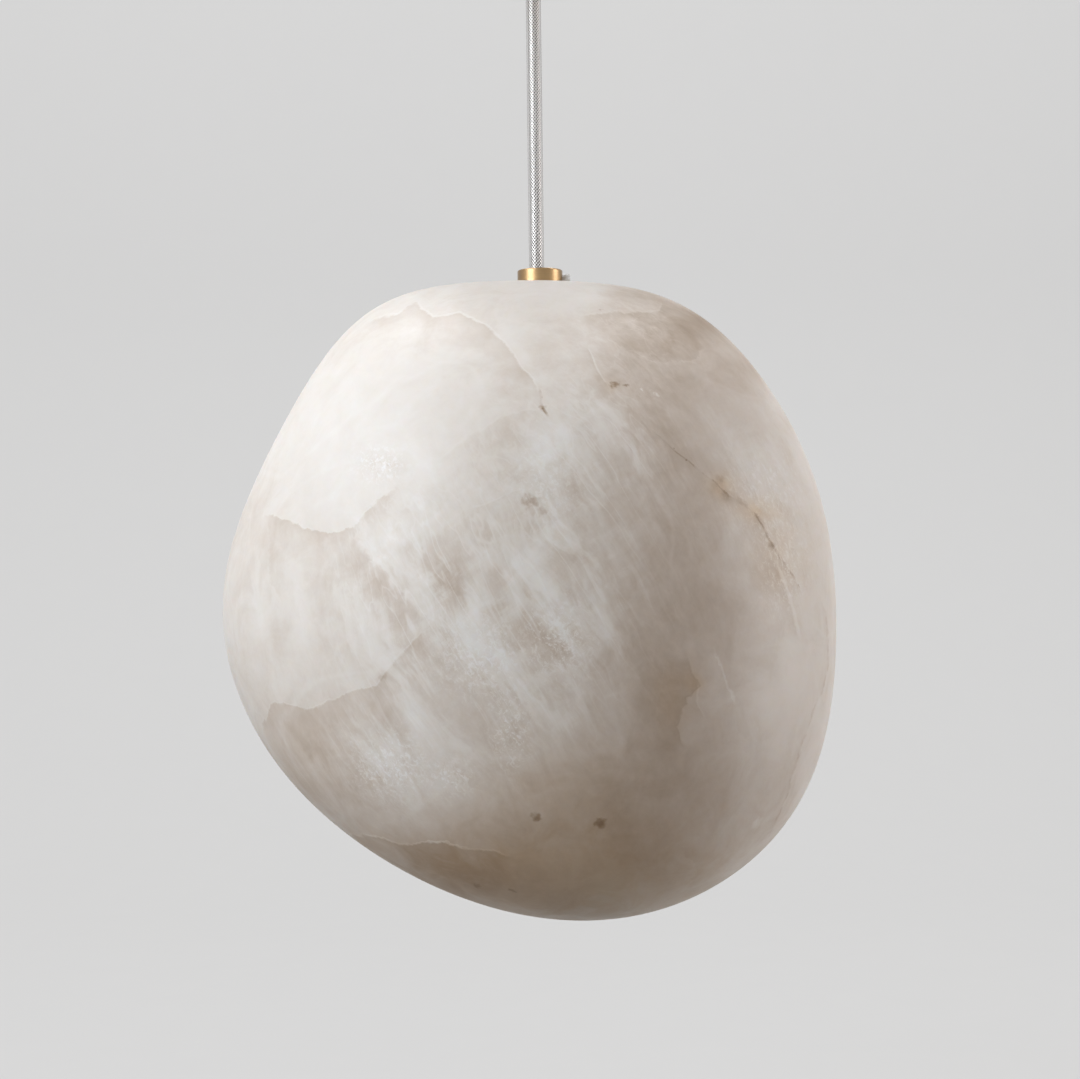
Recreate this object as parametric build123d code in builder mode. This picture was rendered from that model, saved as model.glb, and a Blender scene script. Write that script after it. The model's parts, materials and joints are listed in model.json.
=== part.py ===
"""Alabaster pendant light: a hollowed, ground boulder hung from the ceiling on a clear-jacketed cord.

Millimetres, +Z up. The origin is on the ceiling plane, at the centre of the fixing strap, so the light
hangs below it. +X is the side of the clamp screws and -Y is the front of the stone.
"""
import math
import os

from build123d import *

os.makedirs("parts", exist_ok=True)

# Ground flats of the stone: the distance of each from the stone's heart
flat_right = 118.6
flat_upper_right = 125.2
flat_crown = 127.2
flat_upper_left = 123.2
flat_left = 129.1
flat_lower_left = 120.4
flat_foot = 129.1
flat_lower_right = 135.0
flat_front = 118.0
flat_back = 118.0
shoulder_fullness = 1.06
foot_fullness = 0.16
flat_blend = 8

# The way each rim flat faces, in degrees from +X towards +Z
rim_flats = [
    (-2, flat_right),
    (36, flat_upper_right),
    (90, flat_crown),
    (151, flat_upper_left),
    (197, flat_left),
    (236, flat_lower_left),
    (270, flat_foot),
    (312, flat_lower_right),
]

# Hollow of the stone
stone_wall = 12.0
crown_thickness = 26.0
crown_seat_radius = 14.0
hollow_shift_x = -0.35
hollow_shift_y = 0.0
opening_diameter = 80.0
foot_offset = 15.0
foot_trim = 10.0
section_count = 15
section_points = 24

# Cord
cord_diameter = 6.0
braid_diameter = 3.2
free_cord_length = 111.3
cord_offset = 1.3
flex_gap = 0.8
shift_run = 12.0
clamp_run = 1.5
jacket_strip = 1.5
core_diameter = 1.8
core_spacing = 2.2

# Clearances
body_gap = 0.3
running_gap = 0.05
layer_gap = 0.03

# Brass cord grips, one under the canopy and one in the crown of the stone
grip_diameter = 18.0
grip_length = 13.3
grip_bore = 9.2
grip_bore_depth = 8.3
grip_edge = 0.6
collar_proud = 6.0

# Nylon clamp screws
screw_diameter = 2.6
screw_depth = 3.4
screw_neck = 0.9
screw_head_diameter = 3.6
screw_head_length = 2.1
screw_slot_width = 0.6
screw_slot_depth = 0.8

# Threaded nipples and hex nuts
nipple_diameter = 9.9
nipple_bore = 8.0
nut_width = 14.0
nut_height = 4.0
nut_chamfer = 0.5
nipple_tip = 0.5

# Canopy at the ceiling
cup_diameter = 104.0
cup_depth = 32.0
cup_wall = 1.0
cup_corner = 7.0
strap_margin = 4.0
strap_length = cup_diameter - 2 * strap_margin
strap_width = 20.0
strap_thickness = 2.0
strap_drop = 14.0
bridge_length = 54.0
leg_angle = 70.0
strap_bend = 2.0
slot_length = 10.0
slot_width = 5.0
slot_margin = 3.0
slot_spacing = strap_length - slot_length - 2 * slot_margin

# Terminal block on the strap's bridge
block_length = 16.0
block_width = 20.0
block_height = 11.0
block_edge = 1.0
block_gap = 1.5
pole_spacing = 10.0
sleeve_diameter = 4.4
sleeve_bore = 2.6
sleeve_height = 4.4
terminal_spacing = 8.0
terminal_diameter = 2.4
terminal_head = 3.2
terminal_head_height = 2.2
block_valley = 2.5

# Wires in the canopy: over the nipple's end, across, and down into the block
wire_rise = 3.2
wire_crest_rise = 5.9
wire_crest_reach = 1.8
wire_crest_spacing = 4.8
wire_cross_rise = 5.8
wire_cross_reach = 5.0
wire_cross_spacing = 8.4
wire_fall_reach = 2.8
wire_fall_spacing = 9.8
wire_entry_reach = 1.2

# Wires in the lampholder: straight down, then out to the terminal screws
lamp_wire_drop = 3.5
lamp_wire_turn_drop = 8.7
lamp_wire_turn_spacing = 2.4
lamp_wire_turn_width = 1.0
lamp_wire_landing_spacing = 6.8

# Seals and spreader plate in the stone
seal_thickness = 1.0
inner_seal_thickness = 1.5
inner_seal_diameter = 46.0
plate_diameter = 50.0
plate_thickness = 2.5
plate_edge = 0.5

# Lampholder
holder_neck_diameter = 16.0
holder_neck_length = 7.0
holder_cone = 7.0
holder_diameter = 37.0
holder_cap_height = 24.0
holder_wall = 2.0
holder_roof = 9.0
holder_thread = 8.0
spigot_length = 5.0
holder_body_length = 32.0
holder_ring_diameter = 40.0
holder_ring_height = 6.0
insert_drop = 3.0
insert_height = 9.0
shell_length = 22.0
shell_wall = 0.4
contact_width = 5.0
contact_length = 12.0
contact_thickness = 0.6
contact_drop = 1.7
holder_screw_spacing = 17.0
holder_screw_diameter = 4.4
holder_screw_height = 1.6

# Bulb
bulb_length = 108.0
bulb_diameter = 60.0
bulb_cap_diameter = 26.5
bulb_cap_length = 27.0
bulb_tip_diameter = 9.6
bulb_tip_height = 1.5
bulb_insulator_height = 6.0
bulb_insulator_diameter = 23.0
bulb_neck_diameter = 28.4
globe_wall = 1.2
globe_lift = 16.0
board_diameter = 42.0
board_thickness = 1.6
light_count = 12
light_ring = 15.0
light_length = 3.5
light_width = 2.8
light_height = 0.7

# Heights, worked down from the ceiling
grip_face_z = -cup_depth - grip_length
upper_pivot_z = grip_face_z - flex_gap
lower_pivot_z = upper_pivot_z - free_cord_length
collar_top_z = lower_pivot_z - flex_gap
stone_top_z = collar_top_z - collar_proud
collar_bottom_z = collar_top_z - grip_length
counterbore_z = collar_bottom_z - seal_thickness
crown_under_z = stone_top_z - crown_thickness
plate_top_z = crown_under_z - inner_seal_thickness
plate_bottom_z = plate_top_z - plate_thickness
holder_top_z = plate_bottom_z - nut_height
thread_hole = nipple_diameter + 2 * running_gap
clear_hole = nipple_diameter + 2 * body_gap


def flat_list():
    """Every flat as a unit direction and a distance: rim, front, back and the shoulders half way between."""
    flats = [(0.0, -1.0, 0.0, flat_front), (0.0, 1.0, 0.0, flat_back)]
    for degrees, distance in rim_flats:
        across = math.cos(math.radians(degrees))
        up = math.sin(math.radians(degrees))
        flats.append((across, 0.0, up, distance))
        fullness = shoulder_fullness + foot_fullness * max(0.0, -up)
        for side, depth in ((-1.0, flat_front), (1.0, flat_back)):
            half = math.sqrt(0.5)
            flats.append((across * half, side * half, up * half, fullness * (distance + depth) / 2))
    return flats


stone_flats = flat_list()


def flat_sum(x, y, z, wall):
    """Blend of all flats at a point measured from the heart: 1 on the surface, less than 1 inside it."""
    total = 0.0
    for across, along, up, distance in stone_flats:
        share = (across * x + along * y + up * z) / (distance - wall)
        if share > 0.0:
            total += share**flat_blend
    return total


def reach(start, direction, wall):
    """Distance from a point inside the stone, along a direction, to its surface, by halving."""
    near = 0.0
    far = 2 * max(distance for across, along, up, distance in stone_flats)
    for step in range(40):
        middle = (near + far) / 2
        point = [start[i] + middle * direction[i] for i in range(3)]
        if flat_sum(*point, wall) < 1.0:
            near = middle
        else:
            far = middle
    return near


def surface_height(x, up, wall):
    """Height of the surface above or below the heart, at a place across on the stone's middle plane."""
    return up * reach((x, 0.0, 0.0), (0.0, 0.0, up), wall)


def section(centre_x, height, wall):
    """Points round the stone at one height, measured from the heart."""
    points = []
    for k in range(section_points):
        angle = 2 * math.pi * k / section_points
        across = math.cos(angle)
        along = math.sin(angle)
        distance = reach((centre_x, 0.0, height), (across, along, 0.0), wall)
        points.append((centre_x + distance * across, distance * along))
    return points


def section_levels(top, bottom, wall, top_x, bottom_x):
    """Heights and outlines of the sections of one surface, closer together towards its two ends."""
    levels = []
    for k in range(section_count):
        share = (1 - math.cos(math.pi * k / (section_count - 1))) / 2
        height = top + (bottom - top) * share
        centre_x = top_x + (bottom_x - top_x) * share
        levels.append((height, section(centre_x, height, wall)))
    return levels


def bend_radii(route):
    """Largest bend at each corner of a wire's route that its two runs leave room for."""
    radii = []
    for before, corner, after in zip(route, route[1:], route[2:]):
        run_in = Vector(*corner) - Vector(*before)
        run_out = Vector(*after) - Vector(*corner)
        half_turn = math.radians(run_in.get_angle(run_out)) / 2
        radii.append(0.45 * min(run_in.length, run_out.length) / math.tan(half_turn))
    return radii


# The heart lies below the crown seat, under the hanging cord
heart_x = -cord_offset
crown_height = surface_height(crown_seat_radius - heart_x, 1.0, 0.0)
heart_z = stone_top_z - crown_height
foot_x = foot_offset - heart_x
foot_height = max(
    surface_height(foot_x - foot_trim, -1.0, 0.0),
    surface_height(foot_x + foot_trim, -1.0, 0.0),
)
hollow_top = crown_under_z - heart_z
hollow_foot = max(
    surface_height(foot_x - foot_trim, -1.0, stone_wall),
    surface_height(foot_x + foot_trim, -1.0, stone_wall),
)
outer_sections = section_levels(crown_height, foot_height, 0.0, -heart_x, foot_x)
hollow_sections = section_levels(hollow_top, hollow_foot, stone_wall, -heart_x, foot_x)

# Alabaster shell
with BuildPart() as alabaster_shell:
    for height, points in outer_sections:
        with BuildSketch(Plane((heart_x, 0, heart_z + height))):
            with BuildLine():
                Spline(*points, periodic=True)
            make_face()
    loft()
    for height, points in hollow_sections:
        with BuildSketch(Plane((heart_x + hollow_shift_x, hollow_shift_y, heart_z + height))):
            with BuildLine():
                Spline(*points, periodic=True)
            make_face()
    loft(mode=Mode.SUBTRACT)
    with BuildSketch(Plane.XY.offset(heart_z)):
        Circle(opening_diameter / 2)
    extrude(amount=-2 * flat_foot, mode=Mode.SUBTRACT)
    with BuildSketch(Plane.XY.offset(stone_top_z)):
        Circle(clear_hole / 2)
    extrude(amount=-crown_thickness, mode=Mode.SUBTRACT)
    with BuildSketch(Plane.XY.offset(stone_top_z)):
        Circle(grip_diameter / 2 + body_gap)
    extrude(amount=counterbore_z - stone_top_z, mode=Mode.SUBTRACT)
alabaster_shell.part.label = "alabaster_shell"
export_step(alabaster_shell.part, "parts/alabaster_shell.step")

# Brass grips: the clamp end faces the free cord, the threaded end takes a nipple
for name, face_z, inward in (("canopy_grip", grip_face_z, 1), ("stone_collar", collar_top_z, -1)):
    clamp_face = Plane((0, 0, face_z), x_dir=(1, 0, 0), z_dir=(0, 0, inward))
    with BuildPart() as grip:
        with BuildSketch(clamp_face):
            Circle(grip_diameter / 2)
        extrude(amount=grip_length)
        clamp_end = 0 if inward > 0 else -1
        fillet(grip.edges().group_by(Axis.Z)[clamp_end], radius=grip_edge)
        with BuildSketch(clamp_face):
            Circle(grip_bore / 2)
        extrude(amount=grip_bore_depth, mode=Mode.SUBTRACT)
        with BuildSketch(clamp_face.offset(grip_bore_depth)):
            Circle(thread_hole / 2)
        extrude(amount=grip_length - grip_bore_depth, mode=Mode.SUBTRACT)
        with BuildSketch(Plane((0, 0, face_z + inward * screw_depth), z_dir=(1, 0, 0))):
            Circle(screw_diameter / 2 + running_gap)
        extrude(amount=grip_diameter, mode=Mode.SUBTRACT)
    grip.part.label = name
    export_step(grip.part, f"parts/{name}.step")

# Nylon clamp screws, their tips against the cord
screw_tip_x = cord_diameter / 2 - cord_offset + body_gap
screw_head_x = grip_diameter / 2 + screw_neck
screw_end_x = screw_head_x + screw_head_length
for name, screw_z in (
    ("canopy_grip_screw", grip_face_z + screw_depth),
    ("collar_screw", collar_top_z - screw_depth),
):
    with BuildPart() as screw:
        with BuildSketch(Plane((screw_tip_x, 0, screw_z), z_dir=(1, 0, 0))):
            Circle(screw_diameter / 2)
        extrude(amount=screw_head_x - screw_tip_x)
        with BuildSketch(Plane((screw_head_x, 0, screw_z), z_dir=(1, 0, 0))):
            Circle(screw_head_diameter / 2)
        extrude(amount=screw_head_length)
        with BuildSketch(Plane((screw_end_x, 0, screw_z), x_dir=(0, 1, 0), z_dir=(1, 0, 0))):
            Rectangle(2 * screw_head_diameter, screw_slot_width)
        extrude(amount=-screw_slot_depth, mode=Mode.SUBTRACT)
    screw.part.label = name
    export_step(screw.part, f"parts/{name}.step")

# Free cord: a clear jacket with round ends on the two points where the cord flexes
cord_x = -cord_offset
with BuildPart() as cord_jacket:
    with BuildSketch(Plane((cord_x, 0, lower_pivot_z))):
        Circle(cord_diameter / 2)
    extrude(amount=free_cord_length)
    with Locations((cord_x, 0, lower_pivot_z), (cord_x, 0, upper_pivot_z)):
        Sphere(cord_diameter / 2)
    with BuildSketch(Plane((cord_x, 0, lower_pivot_z - cord_diameter))):
        Circle(braid_diameter / 2 + layer_gap)
    extrude(amount=free_cord_length + 2 * cord_diameter, mode=Mode.SUBTRACT)
cord_jacket.part.label = "cord_jacket"
export_step(cord_jacket.part, "parts/cord_jacket.step")

with BuildPart() as cord_braid:
    with BuildSketch(Plane((cord_x, 0, lower_pivot_z))):
        Circle(braid_diameter / 2)
    extrude(amount=free_cord_length)
    with Locations((cord_x, 0, lower_pivot_z), (cord_x, 0, upper_pivot_z)):
        Sphere(braid_diameter / 2)
cord_braid.part.label = "cord_braid"
export_step(cord_braid.part, "parts/cord_braid.step")

# Held ends of the cord: straight in the clamp, across to the nipple's axis, then along it
canopy_nipple_low_z = grip_face_z + grip_bore_depth
canopy_nipple_high_z = nut_height + nipple_tip - strap_drop
stone_nipple_high_z = collar_top_z - grip_bore_depth
stone_nipple_low_z = holder_top_z - holder_thread
for name, pivot_z, inward, end_z in (
    ("cord_ceiling_end", upper_pivot_z, 1, canopy_nipple_high_z - jacket_strip),
    ("cord_lamp_end", lower_pivot_z, -1, stone_nipple_low_z - jacket_strip),
):
    shift_start_z = pivot_z + inward * (flex_gap + screw_depth + clamp_run)
    shift_end_z = shift_start_z + inward * shift_run
    route = [
        (cord_x, 0, pivot_z),
        (cord_x, 0, shift_start_z),
        (0, 0, shift_end_z),
        (0, 0, end_z),
    ]
    shift_turn = math.atan(cord_offset / shift_run)
    shift_radius = 0.45 * (screw_depth + clamp_run) / math.tan(shift_turn / 2)
    print(name, "bend radius", round(shift_radius, 1))
    with BuildPart() as cord_end:
        with BuildLine():
            path = FilletPolyline(*route, radius=shift_radius)
        with BuildSketch(Plane(route[0], z_dir=(0, 0, inward))):
            Circle(cord_diameter / 2)
        sweep(path=path)
        with Locations(route[0]):
            Sphere(cord_diameter / 2 + body_gap, mode=Mode.SUBTRACT)
    cord_end.part.label = name
    export_step(cord_end.part, f"parts/{name}.step")

# Threaded nipples, as plain tubes
for name, low_z, high_z in (
    ("canopy_nipple", canopy_nipple_low_z, canopy_nipple_high_z),
    ("stone_nipple", stone_nipple_low_z, stone_nipple_high_z),
):
    with BuildPart() as nipple:
        with BuildSketch(Plane.XY.offset(low_z)):
            Circle(nipple_diameter / 2)
            Circle(nipple_bore / 2, mode=Mode.SUBTRACT)
        extrude(amount=high_z - low_z)
    nipple.part.label = name
    export_step(nipple.part, f"parts/{name}.step")

# Hex nuts: two grip the strap, one holds the spreader plate
bridge_under_z = -strap_drop - strap_thickness
for name, bottoms in (
    ("strap_nuts", (-strap_drop, bridge_under_z - nut_height)),
    ("stone_nut", (plate_bottom_z - nut_height,)),
):
    with BuildPart() as nuts:
        for bottom_z in bottoms:
            with BuildSketch(Plane.XY.offset(bottom_z)):
                RegularPolygon(nut_width / 2, 6, major_radius=False)
                Circle(thread_hole / 2, mode=Mode.SUBTRACT)
            extrude(amount=nut_height)
        rims = nuts.edges().filter_by(GeomType.LINE).filter_by(Axis.Z, reverse=True)
        chamfer(rims, length=nut_chamfer)
    nuts.part.label = name
    export_step(nuts.part, f"parts/{name}.step")

# Fixing strap: feet on the ceiling, a bridge below it, all one bent strip
leg = math.radians(leg_angle)
leg_run = strap_drop / math.tan(leg)
bend_shift = strap_thickness * math.tan(leg / 2)
upper_line = [
    (strap_length / 2, 0),
    (bridge_length / 2 + leg_run, 0),
    (bridge_length / 2, -strap_drop),
]
lower_line = [
    (bridge_length / 2 + bend_shift, -strap_drop - strap_thickness),
    (bridge_length / 2 + leg_run + bend_shift, -strap_thickness),
    (strap_length / 2, -strap_thickness),
]
right_half = upper_line[::-1] + lower_line[::-1]
left_half = [(-x, z) for x, z in right_half[::-1]]
with BuildPart() as ceiling_strap:
    with BuildSketch(Plane.XZ) as strap_profile:
        with BuildLine():
            Polyline(*right_half, *left_half, close=True)
        make_face()
        bends = strap_profile.vertices().filter_by(lambda v: abs(v.X) < strap_length / 2 - strap_thickness)
        fillet(bends, radius=strap_bend)
    extrude(amount=strap_width / 2, both=True)
    with BuildSketch(Plane.XY):
        with GridLocations(slot_spacing, 0, 2, 1):
            SlotOverall(slot_length, slot_width)
        Circle(thread_hole / 2)
    extrude(amount=-strap_drop - strap_thickness, mode=Mode.SUBTRACT)
ceiling_strap.part.label = "ceiling_strap"
export_step(ceiling_strap.part, "parts/ceiling_strap.step")

# Canopy cup, open to the ceiling
with BuildPart() as canopy_cup:
    with BuildSketch(Plane.XY):
        Circle(cup_diameter / 2)
    extrude(amount=-cup_depth)
    fillet(canopy_cup.edges().group_by(Axis.Z)[0], radius=cup_corner)
    offset(amount=-cup_wall, openings=canopy_cup.faces().sort_by(Axis.Z)[-1])
    with BuildSketch(Plane.XY.offset(-cup_depth)):
        Circle(thread_hole / 2)
    extrude(amount=2 * cup_wall, mode=Mode.SUBTRACT)
canopy_cup.part.label = "canopy_cup"
export_step(canopy_cup.part, "parts/canopy_cup.step")

# Terminal block on the bridge, with a brass sleeve and two screws for each pole
block_x = nut_width / math.sqrt(3) + block_gap + block_length / 2
sleeve_z = sleeve_height - strap_drop
block_top_z = block_height - strap_drop
with BuildPart() as terminal_block:
    with BuildSketch(Plane((block_x, 0, -strap_drop))):
        RectangleRounded(block_length, block_width, block_edge)
    extrude(amount=block_height)
    with BuildSketch(Plane((block_x - block_length / 2, 0, sleeve_z), x_dir=(0, 1, 0), z_dir=(1, 0, 0))):
        with GridLocations(pole_spacing, 0, 2, 1):
            Circle(sleeve_diameter / 2 + running_gap)
    extrude(amount=block_length, mode=Mode.SUBTRACT)
    with BuildSketch(Plane((block_x, 0, block_top_z))):
        with GridLocations(terminal_spacing, pole_spacing, 2, 2):
            Circle(terminal_head / 2 + running_gap)
    extrude(amount=sleeve_z - block_top_z, mode=Mode.SUBTRACT)
    with BuildSketch(Plane((block_x, 0, block_top_z))):
        Rectangle(block_length, block_valley)
    extrude(amount=-block_valley, mode=Mode.SUBTRACT)
terminal_block.part.label = "terminal_block"
export_step(terminal_block.part, "parts/terminal_block.step")

with BuildPart() as terminal_sleeves:
    with BuildSketch(Plane((block_x - block_length / 2, 0, sleeve_z), x_dir=(0, 1, 0), z_dir=(1, 0, 0))):
        with GridLocations(pole_spacing, 0, 2, 1):
            Circle(sleeve_diameter / 2)
            Circle(sleeve_bore / 2, mode=Mode.SUBTRACT)
    extrude(amount=block_length)
    with BuildSketch(Plane((block_x, 0, sleeve_z))):
        with GridLocations(terminal_spacing, pole_spacing, 2, 2):
            Circle(terminal_diameter / 2 + running_gap)
    extrude(amount=sleeve_diameter, mode=Mode.SUBTRACT)
terminal_sleeves.part.label = "terminal_sleeves"
export_step(terminal_sleeves.part, "parts/terminal_sleeves.step")

terminal_head_z = sleeve_z + sleeve_diameter / 2
with BuildPart() as terminal_screws:
    with BuildSketch(Plane((block_x, 0, sleeve_z + core_diameter / 2))):
        with GridLocations(terminal_spacing, pole_spacing, 2, 2):
            Circle(terminal_diameter / 2)
    extrude(amount=terminal_head_z - sleeve_z - core_diameter / 2)
    with BuildSketch(Plane((block_x, 0, terminal_head_z))):
        with GridLocations(terminal_spacing, pole_spacing, 2, 2):
            Circle(terminal_head / 2)
    extrude(amount=terminal_head_height)
    with BuildSketch(Plane((block_x, 0, terminal_head_z + terminal_head_height))):
        with GridLocations(terminal_spacing, pole_spacing, 2, 2):
            Rectangle(screw_slot_width, 2 * terminal_head)
    extrude(amount=-screw_slot_depth, mode=Mode.SUBTRACT)
terminal_screws.part.label = "terminal_screws"
export_step(terminal_screws.part, "parts/terminal_screws.step")

# Wires in the canopy, from the cord's cut end up over the nipple and into the block
block_entry_x = block_x - block_length / 2
canopy_cord_end = canopy_nipple_high_z - jacket_strip
wire_low_z = canopy_nipple_high_z + wire_rise
wire_crest_z = canopy_nipple_high_z + wire_crest_rise
wire_cross_z = canopy_nipple_high_z + wire_cross_rise
with BuildPart() as canopy_wires:
    for side in (-1, 1):
        route = [
            (0, side * core_spacing / 2, canopy_cord_end),
            (0, side * core_spacing / 2, wire_low_z),
            (wire_crest_reach, side * wire_crest_spacing / 2, wire_crest_z),
            (block_entry_x - wire_cross_reach, side * wire_cross_spacing / 2, wire_cross_z),
            (block_entry_x - wire_fall_reach, side * wire_fall_spacing / 2, wire_low_z),
            (block_entry_x - wire_entry_reach, side * pole_spacing / 2, sleeve_z),
            (block_x - terminal_spacing / 2, side * pole_spacing / 2, sleeve_z),
        ]
        radii = bend_radii(route)
        print("canopy wire bend radii", [round(radius, 1) for radius in radii])
        with BuildLine():
            path = FilletPolyline(*route, radius=radii)
        with BuildSketch(Plane(route[0])):
            Circle(core_diameter / 2)
        sweep(path=path)
canopy_wires.part.label = "canopy_wires"
export_step(canopy_wires.part, "parts/canopy_wires.step")

# Seals and the plate that spreads the stone's weight
for name, bottom_z, thickness, diameter, hole in (
    ("collar_seal", counterbore_z, seal_thickness, grip_diameter, clear_hole),
    ("inner_seal", plate_top_z, inner_seal_thickness, inner_seal_diameter, clear_hole),
):
    with BuildPart() as seal:
        with BuildSketch(Plane.XY.offset(bottom_z)):
            Circle(diameter / 2)
            Circle(hole / 2, mode=Mode.SUBTRACT)
        extrude(amount=thickness)
    seal.part.label = name
    export_step(seal.part, f"parts/{name}.step")

with BuildPart() as spreader_plate:
    with BuildSketch(Plane.XY.offset(plate_bottom_z)):
        Circle(plate_diameter / 2)
    extrude(amount=plate_thickness)
    chamfer(spreader_plate.edges().filter_by(GeomType.CIRCLE), length=plate_edge)
    with BuildSketch(Plane.XY.offset(plate_bottom_z)):
        Circle(thread_hole / 2)
    extrude(amount=plate_thickness, mode=Mode.SUBTRACT)
spreader_plate.part.label = "spreader_plate"
export_step(spreader_plate.part, "parts/spreader_plate.step")

# Lampholder cap, screwed on the nipple's lower end
cap_low_z = holder_top_z - holder_cap_height
cone_z = holder_top_z - holder_neck_length
roof_z = holder_top_z - holder_roof
holder_inside = holder_diameter / 2 - holder_wall
with BuildPart() as holder_cap:
    with BuildSketch(Plane.XZ):
        with BuildLine():
            Polyline(
                (thread_hole / 2, holder_top_z),
                (holder_neck_diameter / 2, holder_top_z),
                (holder_neck_diameter / 2, cone_z),
                (holder_diameter / 2, cone_z - holder_cone),
                (holder_diameter / 2, cap_low_z),
                (holder_inside, cap_low_z),
                (holder_inside, roof_z - holder_cone),
                (holder_neck_diameter / 2, roof_z),
                (thread_hole / 2, roof_z),
                close=True,
            )
        make_face()
    revolve(axis=Axis.Z)
holder_cap.part.label = "holder_cap"
export_step(holder_cap.part, "parts/holder_cap.step")

# Lampholder body: a spigot inside the cap and a ring round the mouth
body_low_z = cap_low_z - holder_body_length
spigot_outside = holder_inside - running_gap
spigot_inside = spigot_outside - holder_wall
with BuildPart() as holder_body:
    with BuildSketch(Plane.XZ):
        with BuildLine():
            Polyline(
                (spigot_inside, cap_low_z + spigot_length),
                (spigot_outside, cap_low_z + spigot_length),
                (spigot_outside, cap_low_z),
                (holder_diameter / 2, cap_low_z),
                (holder_diameter / 2, body_low_z + holder_ring_height),
                (holder_ring_diameter / 2, body_low_z + holder_ring_height),
                (holder_ring_diameter / 2, body_low_z),
                (spigot_inside, body_low_z),
                close=True,
            )
        make_face()
    revolve(axis=Axis.Z)
holder_body.part.label = "holder_body"
export_step(holder_body.part, "parts/holder_body.step")

# Ceramic insert, screw shell, centre contact and terminal screws
insert_top_z = cap_low_z + spigot_length - insert_drop
insert_low_z = insert_top_z - insert_height
with BuildPart() as holder_insert:
    with BuildSketch(Plane.XY.offset(insert_low_z)):
        Circle(spigot_inside - running_gap)
    extrude(amount=insert_height)
holder_insert.part.label = "holder_insert"
export_step(holder_insert.part, "parts/holder_insert.step")

shell_inside = bulb_cap_diameter / 2 + running_gap
with BuildPart() as holder_shell:
    with BuildSketch(Plane.XY.offset(insert_low_z)):
        Circle(shell_inside + shell_wall)
        Circle(shell_inside, mode=Mode.SUBTRACT)
    extrude(amount=-shell_length)
holder_shell.part.label = "holder_shell"
export_step(holder_shell.part, "parts/holder_shell.step")

contact_low_z = insert_low_z - contact_drop
contact_step = contact_drop - contact_thickness
with BuildPart() as holder_contact:
    with BuildSketch(Plane.XZ):
        with BuildLine():
            Polyline(
                (-contact_length * 0.75, insert_low_z),
                (-contact_length * 0.25, insert_low_z),
                (0, insert_low_z - contact_step),
                (contact_length * 0.25, insert_low_z - contact_step),
                (contact_length * 0.25, contact_low_z),
                (-contact_thickness / 2, contact_low_z),
                (-contact_length * 0.25 - contact_thickness / 2, insert_low_z - contact_thickness),
                (-contact_length * 0.75, insert_low_z - contact_thickness),
                close=True,
            )
        make_face()
    extrude(amount=contact_width / 2, both=True)
holder_contact.part.label = "holder_contact"
export_step(holder_contact.part, "parts/holder_contact.step")

with BuildPart() as holder_screws:
    with BuildSketch(Plane.XY.offset(insert_top_z)):
        with GridLocations(holder_screw_spacing, 0, 2, 1):
            Circle(holder_screw_diameter / 2)
    extrude(amount=holder_screw_height)
    with BuildSketch(Plane.XY.offset(insert_top_z + holder_screw_height)):
        with GridLocations(holder_screw_spacing, 0, 2, 1):
            Rectangle(2 * holder_screw_diameter, screw_slot_width)
    extrude(amount=-screw_slot_depth, mode=Mode.SUBTRACT)
holder_screws.part.label = "holder_screws"
export_step(holder_screws.part, "parts/holder_screws.step")

# Wires in the lampholder, from the cord's cut end to the terminal screws
wire_seat_z = insert_top_z + core_diameter / 2
wire_end_x = holder_screw_spacing / 2 - holder_screw_diameter / 2 - running_gap
lamp_cord_end = stone_nipple_low_z - jacket_strip
wire_turn_z = lamp_cord_end - lamp_wire_turn_drop
with BuildPart() as lamp_wires:
    for side in (-1, 1):
        route = [
            (0, side * core_spacing / 2, lamp_cord_end),
            (0, side * core_spacing / 2, lamp_cord_end - lamp_wire_drop),
            (side * lamp_wire_turn_spacing / 2, side * lamp_wire_turn_width / 2, wire_turn_z),
            (side * lamp_wire_landing_spacing / 2, 0, wire_seat_z),
            (side * wire_end_x, 0, wire_seat_z),
        ]
        radii = bend_radii(route)
        print("lamp wire bend radii", [round(radius, 1) for radius in radii])
        with BuildLine():
            path = FilletPolyline(*route, radius=radii)
        with BuildSketch(Plane(route[0])):
            Circle(core_diameter / 2)
        sweep(path=path)
lamp_wires.part.label = "lamp_wires"
export_step(lamp_wires.part, "parts/lamp_wires.step")

# Bulb, from its tip down
tip_z = contact_low_z - body_gap
tip_low_z = tip_z - bulb_tip_height
insulator_low_z = tip_z - bulb_insulator_height
bulb_cap_low_z = tip_z - bulb_cap_length
globe_radius = bulb_diameter / 2
globe_z = tip_z - bulb_length + globe_radius
globe_rim_z = globe_z + globe_lift
globe_rim_radius = math.sqrt(globe_radius**2 - globe_lift**2)
with BuildPart() as bulb_contact:
    with BuildSketch(Plane.XY.offset(tip_low_z)):
        Circle(bulb_tip_diameter / 2)
    extrude(amount=bulb_tip_height)
    fillet(bulb_contact.edges().group_by(Axis.Z)[-1], radius=bulb_tip_height / 2)
bulb_contact.part.label = "bulb_contact"
export_step(bulb_contact.part, "parts/bulb_contact.step")

with BuildPart() as bulb_insulator:
    with BuildSketch(Plane.XY.offset(insulator_low_z)):
        Circle(bulb_insulator_diameter / 2)
    with BuildSketch(Plane.XY.offset(tip_low_z)):
        Circle(bulb_tip_diameter / 2)
    loft()
bulb_insulator.part.label = "bulb_insulator"
export_step(bulb_insulator.part, "parts/bulb_insulator.step")

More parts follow.
